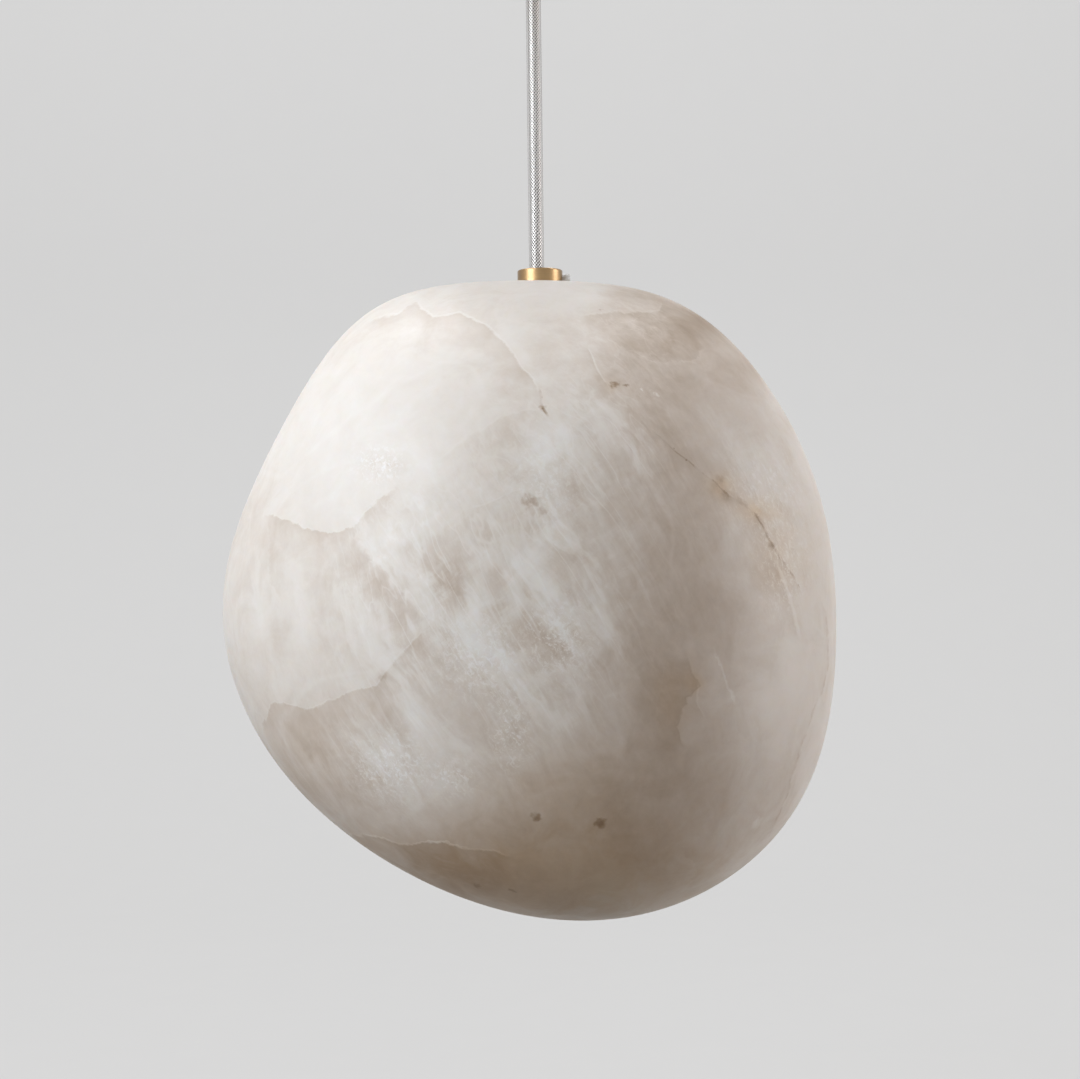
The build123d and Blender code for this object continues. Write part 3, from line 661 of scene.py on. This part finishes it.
def new_group(name, inputs, outputs):
    """An empty shader group with its interface, and its input and output nodes."""
    tree = bpy.data.node_groups.new(name, "ShaderNodeTree")
    for label, kind in inputs:
        tree.interface.new_socket(label, in_out="INPUT", socket_type=kind)
    for label, kind in outputs:
        tree.interface.new_socket(label, in_out="OUTPUT", socket_type=kind)
    return tree, tree.nodes.new("NodeGroupInput").outputs, tree.nodes.new("NodeGroupOutput").inputs


def ledge_group():
    """Masks of one seen line: the shade on its right, exp(-d / reach), and the line itself."""
    number = "NodeSocketFloat"
    names = [("Field", "NodeSocketVector"), ("Wobble", number), ("Reach", number), ("Width", number)]
    tree, given, result = new_group("ledge", names, [("Shade", number), ("Line", number)])
    parts = add(tree, "ShaderNodeSeparateXYZ", {0: given["Field"]}).outputs
    distance = calc(tree, "ADD", parts[0], given["Wobble"])
    inside = calc(tree, "MULTIPLY", fade(tree, distance, -0.9, 0.9), parts[2])
    depth = calc(tree, "DIVIDE", calc(tree, "MAXIMUM", distance, 0.0), given["Reach"])
    fall = calc(tree, "EXPONENT", calc(tree, "MULTIPLY", depth, -1.0))
    tree.links.new(calc(tree, "MULTIPLY", inside, fall), result["Shade"])
    nearness = calc(tree, "DIVIDE", calc(tree, "ABSOLUTE", distance), given["Width"])
    line = fade(tree, nearness, 0.3, 1.0, 1.0, 0.0)
    tree.links.new(calc(tree, "MULTIPLY", line, parts[2]), result["Line"])
    return tree


def spot_group():
    """Mask of a round mark at a place: 1 at its middle, falling to 0 just past its radius."""
    number = "NodeSocketFloat"
    place = "NodeSocketVector"
    names = [("Where", place), ("Place", place), ("Radius", number)]
    tree, given, result = new_group("spot", names, [("Mask", number)])
    ends = {0: given["Where"], 1: given["Place"]}
    far = add(tree, "ShaderNodeVectorMath", ends, operation="DISTANCE").outputs["Value"]
    share = calc(tree, "DIVIDE", far, given["Radius"])
    tree.links.new(fade(tree, share, 0.1, 1.1, 1.0, 0.0), result["Mask"])
    return tree


def new_material(name, slot):
    """A material with one Principled shader, and its tree."""
    material = bpy.data.materials.new(name)
    material.use_nodes = True
    tree = material.node_tree
    shader = tree.nodes["Principled BSDF"]
    MATERIALS[slot] = material
    return tree, shader


def feed(tree, shader, **inputs):
    """Sets or links the shader's own sockets, whose names have _ for a space."""
    for key, value in inputs.items():
        socket = shader.inputs[key.replace("_", " ")]
        if isinstance(value, bpy.types.NodeSocket):
            tree.links.new(value, socket)
        else:
            socket.default_value = value


MATERIALS = {}
LEDGE = ledge_group()
SPOT = spot_group()
# Depth of tone of the plain stone, and what the sum of all is multiplied by
TONE_BASE = 0.48
TONE_SCALE = 0.8
# The tone ramp, from white over cream to brown, and what stains multiply it by
TONE_STOPS = [
    (0.0, (0.965, 0.955, 0.95)),
    (0.20, (0.915, 0.89, 0.873)),
    (0.376, (0.83, 0.79, 0.75)),
    (0.56, (0.66, 0.585, 0.52)),
    (0.76, (0.45, 0.36, 0.28)),
    (1.0, (0.27, 0.19, 0.13)),
]
STAIN_COLOUR = (1.0, 0.91, 0.78, 1.0)
# How dark a metal's marks and a plastic's mottle are, and the painted shade deep between strands
MARK_SHADE = 0.9
MOTTLE_SHADE = 0.93
GAP_SHADE_COLOUR = (0.06, 0.054, 0.05, 1)
# For each seen line: wobble and reach in pixels, how much darker beside it, half width in pixels, and
# how much lighter on it
LINE_LOOKS = {
    "lobe": (9.0, 13.0, 0.20, 2.2, 0.05),
    "strip": (8.0, 26.0, 0.06, 1.6, 0.03),
    "crest": (6.0, 20.0, 0.15, 1.8, 0.14),
    "patch": (9.0, 34.0, 0.06, 2.2, 0.05),
    "thin": (5.0, 10.0, 0.03, 1.4, 0.12),
    "chip": (2.0, 6.0, 0.05, 1.9, -0.50),
    "crown": (6.0, 34.0, 0.14, 1.8, 0.04),
    "crack": (3.0, 7.0, 0.08, 1.3, 0.20),
    "grey": (9.0, 20.0, -0.09, 3.5, 0.05),
    "fault_start": (4.0, 8.0, 0.05, 1.5, 0.12),
    "fault_hair": (3.0, 9.0, 0.05, 1.1, -0.15),
    "fault_break": (3.0, 9.0, 0.12, 1.5, -0.28),
    "fault_rough": (7.0, 14.0, 0.08, 4.0, -0.12),
    "fault_cleft": (4.0, 13.0, 0.09, 1.6, -0.22),
    "fault_streak": (4.0, 12.0, 0.07, 2.2, 0.16),
    "feather": (9.0, 20.0, 0.08, 4.5, 0.12),
    "shelf": (7.0, 40.0, 0.15, 1.8, 0.06),
    "foot": (6.0, 50.0, 0.14, 1.6, 0.22),
    "stain": (4.0, 13.0, 0.11, 1.2, -0.06),
    "notch": (5.0, 9.0, 0.05, 1.6, 0.08),
    "sliver": (7.0, 8.0, -0.06, 2.0, 0.10),
    "rim": (4.0, 12.0, 0.08, 1.7, -0.10),
    "heel": (9.0, 20.0, -0.05, 1.6, 0.0),
}


def warped(tree, where, scale, amount):
    """Coordinates pushed about by noise, by up to about half the amount."""
    inputs = {"Vector": where, "Scale": scale, "Detail": 4.0}
    shove = add(tree, "ShaderNodeTexNoise", inputs).outputs["Color"]
    centred = vector(tree, "SUBTRACT", {0: shove, 1: (0.5, 0.5, 0.5)})
    scaled = vector(tree, "SCALE", {0: centred, "Scale": amount})
    return vector(tree, "ADD", {0: where, 1: scaled})


def fibres(tree, where, degrees, long, fine, detail=6.0, roughness=0.62):
    """Noise drawn out along a direction in the front plane, given in degrees from +X towards -Z."""
    turned = mapped(tree, where, Rotation=(0.0, -math.radians(degrees), 0.0))
    drawn = mapped(tree, turned, Scale=(long, fine, fine))
    return noise(tree, drawn, 1.0, detail, roughness)


def alabaster(places):
    """Clouded, veined and fibrous white stone, slightly translucent, with small marks at given places.

    One depth of tone is the sum of the fields and noises below, each times its weight, and a ramp
    turns it into colour, from white over cream to brown. The tone field holds painted shade and light
    beside the stone's own tone, and the dark pits between crystals are painted shade.
    """
    tree, shader = new_material("Alabaster", "alabaster")
    where = object_place(tree)
    cloud = noise(tree, where, 17.0, 4.0, 0.55, 0.8)
    veil = noise(tree, where, 58.0, 7.0, 0.6, 1.0)
    curd = noise(tree, where, 115.0, 3.0, 0.6, 0.7)
    grain = noise(tree, where, 420.0, 4.0, 0.7)
    ripple = calc(tree, "SUBTRACT", noise(tree, where, 120.0, 6.0, 0.68), 0.5)
    # Painted shade and light come in here with the stone's own tone
    tone_and_shade = attribute(tree, "tone_and_shade")
    wisp = attribute(tree, "wisp")
    bent = warped(tree, where, 22.0, 0.020)
    loose = warped(tree, where, 340.0, 0.0055)
    strands = fibres(tree, bent, 58.0, 16.0, 120.0)
    threads = fibres(tree, bent, 66.0, 30.0, 420.0)
    crossing = fibres(tree, bent, -38.0, 22.0, 150.0)
    crystals_and_pit_shade = attribute(tree, "crystal_and_pit_shade")
    shards = fibres(tree, loose, 56.0, 420.0, 760.0, 3.0)
    flecks = calc(tree, "MULTIPLY", fade(tree, shards, 0.54, 0.60), crystals_and_pit_shade)
    # Painted shade: dark specks in the gaps between the bright crystals
    pit_shade = calc(tree, "MULTIPLY", fade(tree, shards, 0.36, 0.46, 1.0, 0.0), crystals_and_pit_shade)
    swirl = noise(tree, where, 11.0, 2.0, 0.5, 0.5)
    vein = calc(tree, "ABSOLUTE", calc(tree, "SUBTRACT", swirl, 0.5))
    feather = fade(tree, strands, 0.32, 0.62, 0.35, 1.5)
    feathered = calc(tree, "MULTIPLY", attribute(tree, "band"), feather)
    white = calc(tree, "MULTIPLY", fade(tree, strands, 0.46, 0.61), wisp)
    long_fibres = fibres(tree, warped(tree, where, 16.0, 0.008), 60.0, 12.0, 120.0, 2.0)
    ridge = calc(tree, "ABSOLUTE", calc(tree, "SUBTRACT", long_fibres, 0.5))
    veiled = calc(tree, "MULTIPLY", wisp, veil)
    filaments = calc(tree, "MULTIPLY", fade(tree, ridge, 0.0, 0.022, 1.0, 0.0), veiled)
    thready = calc(tree, "ADD", wisp, 0.12)
    finer = calc(tree, "MULTIPLY", calc(tree, "SUBTRACT", threads, 0.5), thready)
    clouded = calc(tree, "MULTIPLY", wisp, cloud)
    second = calc(tree, "MULTIPLY", fade(tree, crossing, 0.48, 0.70), clouded)
    curdy = calc(tree, "ADD", wisp, 0.25)
    curdled = calc(tree, "MULTIPLY", calc(tree, "SUBTRACT", curd, 0.5), curdy)
    terms = [
        (tone_and_shade, 1.0),
        (calc(tree, "SUBTRACT", cloud, 0.5), 0.30),
        (calc(tree, "SUBTRACT", veil, 0.5), 0.30),
        (curdled, 0.20),
        (calc(tree, "SUBTRACT", grain, 0.5), 0.10),
        (feathered, -0.62),
        (white, -0.18),
        (second, -0.24),
        (finer, -0.36),
        (filaments, -0.24),
        (flecks, -0.42),
        (pit_shade, 0.12),
        (fade(tree, vein, 0.0, 0.02, 1.0, 0.0), -0.03),
    ]
    for place, (_, _, radius, dark) in zip(places, SMALL_MARKS):
        spot = add(tree, "ShaderNodeGroup", node_tree=SPOT)
        tree.links.new(loose, spot.inputs["Where"])
        spot.inputs["Place"].default_value = place
        spot.inputs["Radius"].default_value = radius * MM
        terms.append((spot.outputs["Mask"], dark))
    patchy = fade(tree, noise(tree, where, 44.0, 2.0), 0.30, 0.62, 0.25, 1.0)
    broken = fade(tree, noise(tree, where, 190.0, 2.0), 0.42, 0.60, 0.12, 1.1)
    for name, (wobble, far, dark, width, light) in LINE_LOOKS.items():
        field = attribute(tree, "line_" + name, "Vector")
        shove = calc(tree, "MULTIPLY", ripple, wobble * 2)
        ledge = add(tree, "ShaderNodeGroup", node_tree=LEDGE)
        tree.links.new(field, ledge.inputs["Field"])
        tree.links.new(shove, ledge.inputs["Wobble"])
        ledge.inputs["Reach"].default_value = far
        ledge.inputs["Width"].default_value = width
        drawn = calc(tree, "MULTIPLY", ledge.outputs["Line"], patchy if light > 0 else broken)
        terms += [(ledge.outputs["Shade"], dark), (drawn, -light)]
    depth = calc(tree, "ADD", total(tree, terms), TONE_BASE)
    depth = calc(tree, "MULTIPLY", depth, TONE_SCALE, clamp=True)
    uneven = fade(tree, veil, 0.25, 0.75, 0.6, 1.2)
    stained = calc(tree, "MULTIPLY", attribute(tree, "warm"), uneven, clamp=True)
    colour = tint(tree, stained, ramp(tree, depth, TONE_STOPS), STAIN_COLOUR, "MULTIPLY")
    feed(tree, shader, Base_Color=colour, Roughness=fade(tree, veil, 0.2, 0.8, 0.40, 0.55))
    feed(tree, shader, Subsurface_Weight=0.35, Subsurface_Scale=0.012)
    feed(tree, shader, Subsurface_Radius=(1.0, 0.72, 0.5))
    feed(tree, shader, IOR=1.52, Specular_IOR_Level=0.38)


def metal(name, slot, colour, roughness, mark_scale, mark_depth, gap=None, **more):
    """Metal with faint rings or grain: marks change its roughness and, a little, its colour.

    A gap attribute, where there is one, paints shade on the places that lie deep between strands.
    """
    tree, shader = new_material(name, slot)
    marks = noise(tree, mapped(tree, object_place(tree), Scale=mark_scale), 1.0, 3.0, 0.6)
    darker = [c * MARK_SHADE for c in colour]
    shade = tint(tree, fade(tree, marks, 0.25, 0.75), (*darker, 1), (*colour, 1))
    if gap:
        # Painted shade between the strands, read from the gap attribute
        gap_shade = fade(tree, attribute(tree, gap), 0.04, 0.36)
        shade = tint(tree, gap_shade, shade, GAP_SHADE_COLOUR)
    gloss = fade(tree, marks, 0.2, 0.8, roughness - mark_depth, roughness + mark_depth)
    feed(tree, shader, Base_Color=shade, Metallic=1.0, Roughness=gloss, **more)


def plain(name, slot, colour, roughness, scale=260.0, **more):
    """A plastic, rubber, ceramic or glass with a faint mottle in its colour and gloss."""
    tree, shader = new_material(name, slot)
    mottle = noise(tree, object_place(tree), scale, 3.0)
    darker = [c * MOTTLE_SHADE for c in colour]
    shade = tint(tree, mottle, (*darker, 1), (*colour, 1))
    gloss = fade(tree, mottle, 0.2, 0.8, roughness * 0.85, roughness * 1.15)
    feed(tree, shader, Base_Color=shade, Roughness=gloss, **more)


rings = stone_points() * MM
stone_skin = rings.reshape(-1, 3)
alabaster(mark_places(rings[:OUTER_ROWS].reshape(-1, 3)))
# Metals: name, slot, colour, roughness, scale of the marks on each axis, and how far they change the
# gloss
lacquer = {"Coat_Weight": 0.5, "Coat_Roughness": 0.25}
metal("Satin brass", "satin_brass", (0.37, 0.24, 0.112), 0.38, (40.0, 40.0, 5200.0), 0.08, **lacquer)
metal("Tinned braid", "tinned_braid", (0.78, 0.765, 0.755), 0.36, (900.0, 900.0, 900.0), 0.08, "gap")
metal("Zinc plated steel", "zinc_steel", (0.66, 0.67, 0.68), 0.34, (500.0, 500.0, 120.0), 0.07)
metal("Contact brass", "contact_brass", (0.78, 0.60, 0.30), 0.28, (300.0, 300.0, 900.0), 0.06)
metal("Bulb metal", "bulb_metal", (0.72, 0.72, 0.73), 0.26, (300.0, 300.0, 900.0), 0.05)
# The others: name, slot, colour and roughness
plain("Clear jacket", "clear_jacket", (0.50, 0.49, 0.485), 0.08, IOR=JACKET_IOR)
tree = MATERIALS["clear_jacket"].node_tree
grazing = add(tree, "ShaderNodeLayerWeight", {"Blend": 0.5}).outputs["Facing"]
feed(tree, tree.nodes["Principled BSDF"], Alpha=fade(tree, grazing, 0.50, 0.95, 0.15, 0.80))
plain("Clear nylon", "clear_nylon", (0.95, 0.95, 0.945), 0.22, Transmission_Weight=0.12, IOR=1.53)
plain("White plastic", "white_plastic", (0.82, 0.82, 0.80), 0.38)
plain("Wire sleeve", "wire_sleeve", (0.80, 0.80, 0.79), 0.36)
plain("Seal rubber", "seal_rubber", (0.035, 0.035, 0.036), 0.60)
plain("Black plastic", "black_plastic", (0.03, 0.03, 0.032), 0.42)
plain("White ceramic", "white_ceramic", (0.86, 0.85, 0.82), 0.22)
plain("Black glass", "black_glass", (0.012, 0.012, 0.013), 0.12)
plain("Light board", "light_board", (0.84, 0.84, 0.80), 0.45)
plain("Frosted globe", "frosted_globe", (0.92, 0.92, 0.90), 0.30, Transmission_Weight=0.1, IOR=1.48)

for part in frame["record"]["subparts"]:
    solid = NODES[part["node"]]
    solid.data.materials.clear()
    solid.data.materials.append(MATERIALS[part["material_slot"]])

# Stone
stone_faces = grid_faces(*rings.shape[:2], close_rows=True)
stone = new_piece("stone_surface", stone_skin, stone_faces, sharp_degrees=40)
mark_stone(stone.data, stone_skin)
stone.data.materials.append(MATERIALS["alabaster"])
settle(stone, "stone", "alabaster", "alabaster_shell")

# Cord: a clear jacket on a taut line, and the braid inside it
cord_top = UPPER_PIVOT_Z + CORD_REACH
cord_foot = LOWER_PIVOT_Z - CORD_REACH
heights = [cord_top, cord_top - CORD_LEAD, cord_foot + CORD_LEAD, cord_foot]
curve = bpy.data.curves.new("cord_line", "CURVE")
curve.dimensions = "3D"
line = curve.splines.new("NURBS")
line.points.add(len(heights) - 1)
for point, height in zip(line.points, heights):
    point.co = (CORD_X, 0.0, height, 1.0)
line.order_u = 3
line.use_endpoint_u = True
line.resolution_u = 16
curve.bevel_depth = CORD_DIAMETER / 2
curve.bevel_resolution = 8
curve.use_fill_caps = True
cord = bpy.data.objects.new("cord_clear_jacket", curve)
bpy.context.scene.collection.objects.link(cord)
curve.materials.append(MATERIALS["clear_jacket"])
settle(cord, "cord", "clear_jacket", "cord_jacket")


def braid_points(path, radius):
    """Braided tube along the cord's own points, in rings, and how deep in the weave each point lies.

    r = R - h (1 - max(|cos(n a / 2 + q s)|, |cos(n a / 2 - q s)|)): two sets of n strands, crossing
    each other at every pitch p along the cord, with q = pi / p.
    """
    share = np.linspace(0, 1, BRAID_ROWS)[:, None]
    centre = path[0] + (path[-1] - path[0]) * share
    turn = np.linspace(0, 2 * np.pi, BRAID_COLUMNS, endpoint=False)
    run = np.linalg.norm(path[-1] - path[0]) * share * np.pi / BRAID_PITCH
    half_turns = BRAID_STRANDS * turn / 2
    lift = np.maximum(np.abs(np.cos(half_turns + run)), np.abs(np.cos(half_turns - run)))
    wide = radius - BRAID_HEIGHT * (1 - lift)
    x = centre[:, :1] + wide * np.cos(turn)
    y = centre[:, 1:2] + wide * np.sin(turn)
    z = centre[:, 2:] + 0 * wide
    return np.stack([x, y, z], -1), 1 - lift


path = np.array([point.co[:3] for point in line.points])
path[0, 2] -= BRAID_SETBACK
path[-1, 2] += BRAID_SETBACK
rings, low = braid_points(path, BRAID_RADIUS)
braid_faces = grid_faces(*rings.shape[:2], close_rows=False)
braid = new_piece("cord_braid_weave", rings.reshape(-1, 3), braid_faces, sharp_degrees=80)
# The weave's depth is stored to paint shade between the strands
add_values(braid.data, "gap", low.ravel())
braid.data.materials.append(MATERIALS["tinned_braid"])
settle(braid, "cord", "tinned_braid", "cord_braid")

# Stage: one sweep of pale paper from the floor up behind
FLOOR_Z = -0.62
SWEEP_RADIUS = 0.7
SWEEP_BACK = 1.7
SWEEP_STEPS = 25
PAPER_FRONT = -3.0
PAPER_TOP = 2.6
PAPER_HALF_WIDTH = 3.5
PAPER_DARKER = (0.13, 0.13, 0.13, 1)
PAPER_PALER = (0.14, 0.14, 0.14, 1)
PAPER_BOUNCE = (0.14, 0.115, 0.09, 1)
PAPER_GLOW = (0.53, 0.53, 0.53, 1)
NO_GLOW = (0.0, 0.0, 0.0, 1)
sweep = np.linspace(0, math.pi / 2, SWEEP_STEPS)
bend = SWEEP_BACK - SWEEP_RADIUS + SWEEP_RADIUS * np.sin(sweep)
depths = np.concatenate([[PAPER_FRONT], bend, [SWEEP_BACK]])
heights = np.concatenate([[FLOOR_Z], FLOOR_Z + SWEEP_RADIUS * (1 - np.cos(sweep)), [PAPER_TOP]])
sides = np.array([-PAPER_HALF_WIDTH, PAPER_HALF_WIDTH])
edges = np.broadcast_arrays(sides[None], depths[:, None], heights[:, None])
paper_points = np.stack(edges, -1).reshape(-1, 3)
step = np.arange(len(depths) - 1) * 2
paper_faces = np.stack([step, step + 1, step + 3, step + 2], -1)
paper = new_piece("paper_sweep", paper_points, paper_faces, sharp_degrees=60)
tree, shader = new_material("Pale paper", "paper")
rays = add(tree, "ShaderNodeLightPath").outputs
mirrored = calc(tree, "MAXIMUM", rays["Is Glossy Ray"], rays["Is Transmission Ray"])
shown = calc(tree, "MAXIMUM", rays["Is Camera Ray"], mirrored)
# The camera, metal and glass see the paper glow; diffuse light meets a dim, warm grey
fleck = noise(tree, object_place(tree), 30.0, 3.0)
pale = tint(tree, fleck, PAPER_DARKER, PAPER_PALER)
lit = tint(tree, rays["Is Diffuse Ray"], pale, PAPER_BOUNCE)
glow = tint(tree, shown, NO_GLOW, PAPER_GLOW)
feed(tree, shader, Base_Color=lit, Roughness=0.85, Emission_Color=glow, Emission_Strength=1.0)
# From below and behind the paper is see-through
under = add(tree, "ShaderNodeNewGeometry").outputs["Backfacing"]
feed(tree, shader, Specular_IOR_Level=0.1, Alpha=calc(tree, "SUBTRACT", 1.0, under))
paper.data.materials.append(MATERIALS["paper"])


def soft_light(name, place, target, size, watts, colour=(1.0, 1.0, 1.0)):
    """A rectangular area light at a place, turned to its target."""
    light = bpy.data.lights.new(name, "AREA")
    light.shape = "RECTANGLE"
    light.size, light.size_y = size
    light.energy = watts
    light.color = colour
    lamp = bpy.data.objects.new(name, light)
    lamp.location = place
    aim = np.array(target) - np.array(place)
    flat = math.hypot(aim[0], aim[1])
    lamp.rotation_euler = (math.atan2(flat, -aim[2]), 0, math.atan2(-aim[0], aim[1]))
    bpy.context.scene.collection.objects.link(lamp)


STONE_MIDDLE = (0.0, 0.0, -0.29)
PAPER_MIDDLE = (0.0, 1.2, -0.4)
# Lamps: name, place, target, width and height, watts, and colour where it isn't white
LAMPS = [
    ("key", (-1.1, -0.95, 0.32), STONE_MIDDLE, (0.9, 0.9), 20.5, (0.945, 0.973, 1.0)),
    ("rim", (1.14, -0.07, -0.34), STONE_MIDDLE, (0.5, 1.1), 8.4, (1.0, 0.95, 0.925)),
    ("paper_glow", (0.0, 0.55, 1.6), PAPER_MIDDLE, (2.6, 0.8), 45.0),
]
for lamp in LAMPS:
    soft_light(*lamp)

# World: a dim warm level that lights, and pale levels that the camera, metal and glass see
WORLD_LIGHT = 0.07
WORLD_SEEN = 0.48
WORLD_MIRRORED = 0.68
WORLD_WARM = (1.0, 0.74, 0.50, 1.0)
WORLD_WHITE = (1.0, 1.0, 1.0, 1.0)
world = bpy.data.worlds.new("studio")
bpy.context.scene.world = world
world.use_nodes = True
tree = world.node_tree
tree.nodes.clear()
rays = add(tree, "ShaderNodeLightPath").outputs
mirrored = calc(tree, "MAXIMUM", rays["Is Glossy Ray"], rays["Is Transmission Ray"])
seen = calc(tree, "MAXIMUM", rays["Is Camera Ray"], mirrored)
level = total(tree, [(rays["Is Camera Ray"], WORLD_SEEN), (mirrored, WORLD_MIRRORED)])
level = calc(tree, "ADD", level, WORLD_LIGHT)
glow = tint(tree, seen, WORLD_WARM, WORLD_WHITE)
sky = add(tree, "ShaderNodeBackground", {"Color": glow, "Strength": level})
output = add(tree, "ShaderNodeOutputWorld")
tree.links.new(sky.outputs[0], output.inputs["Surface"])

# Camera
camera_data = bpy.data.cameras.new("photo_camera")
camera_data.sensor_width = SENSOR_WIDTH
camera_data.lens = SENSOR_WIDTH * FOCAL_PIXELS / PHOTO_WIDTH
camera = bpy.data.objects.new("photo_camera", camera_data)
camera.location = (CORD_X, -CAMERA_DISTANCE, CAMERA_HEIGHT)
camera.rotation_euler = (math.pi / 2, CAMERA_ROLL, 0.0)
bpy.context.scene.collection.objects.link(camera)
bpy.context.scene.camera = camera
bpy.context.scene.view_settings.view_transform = "Standard"
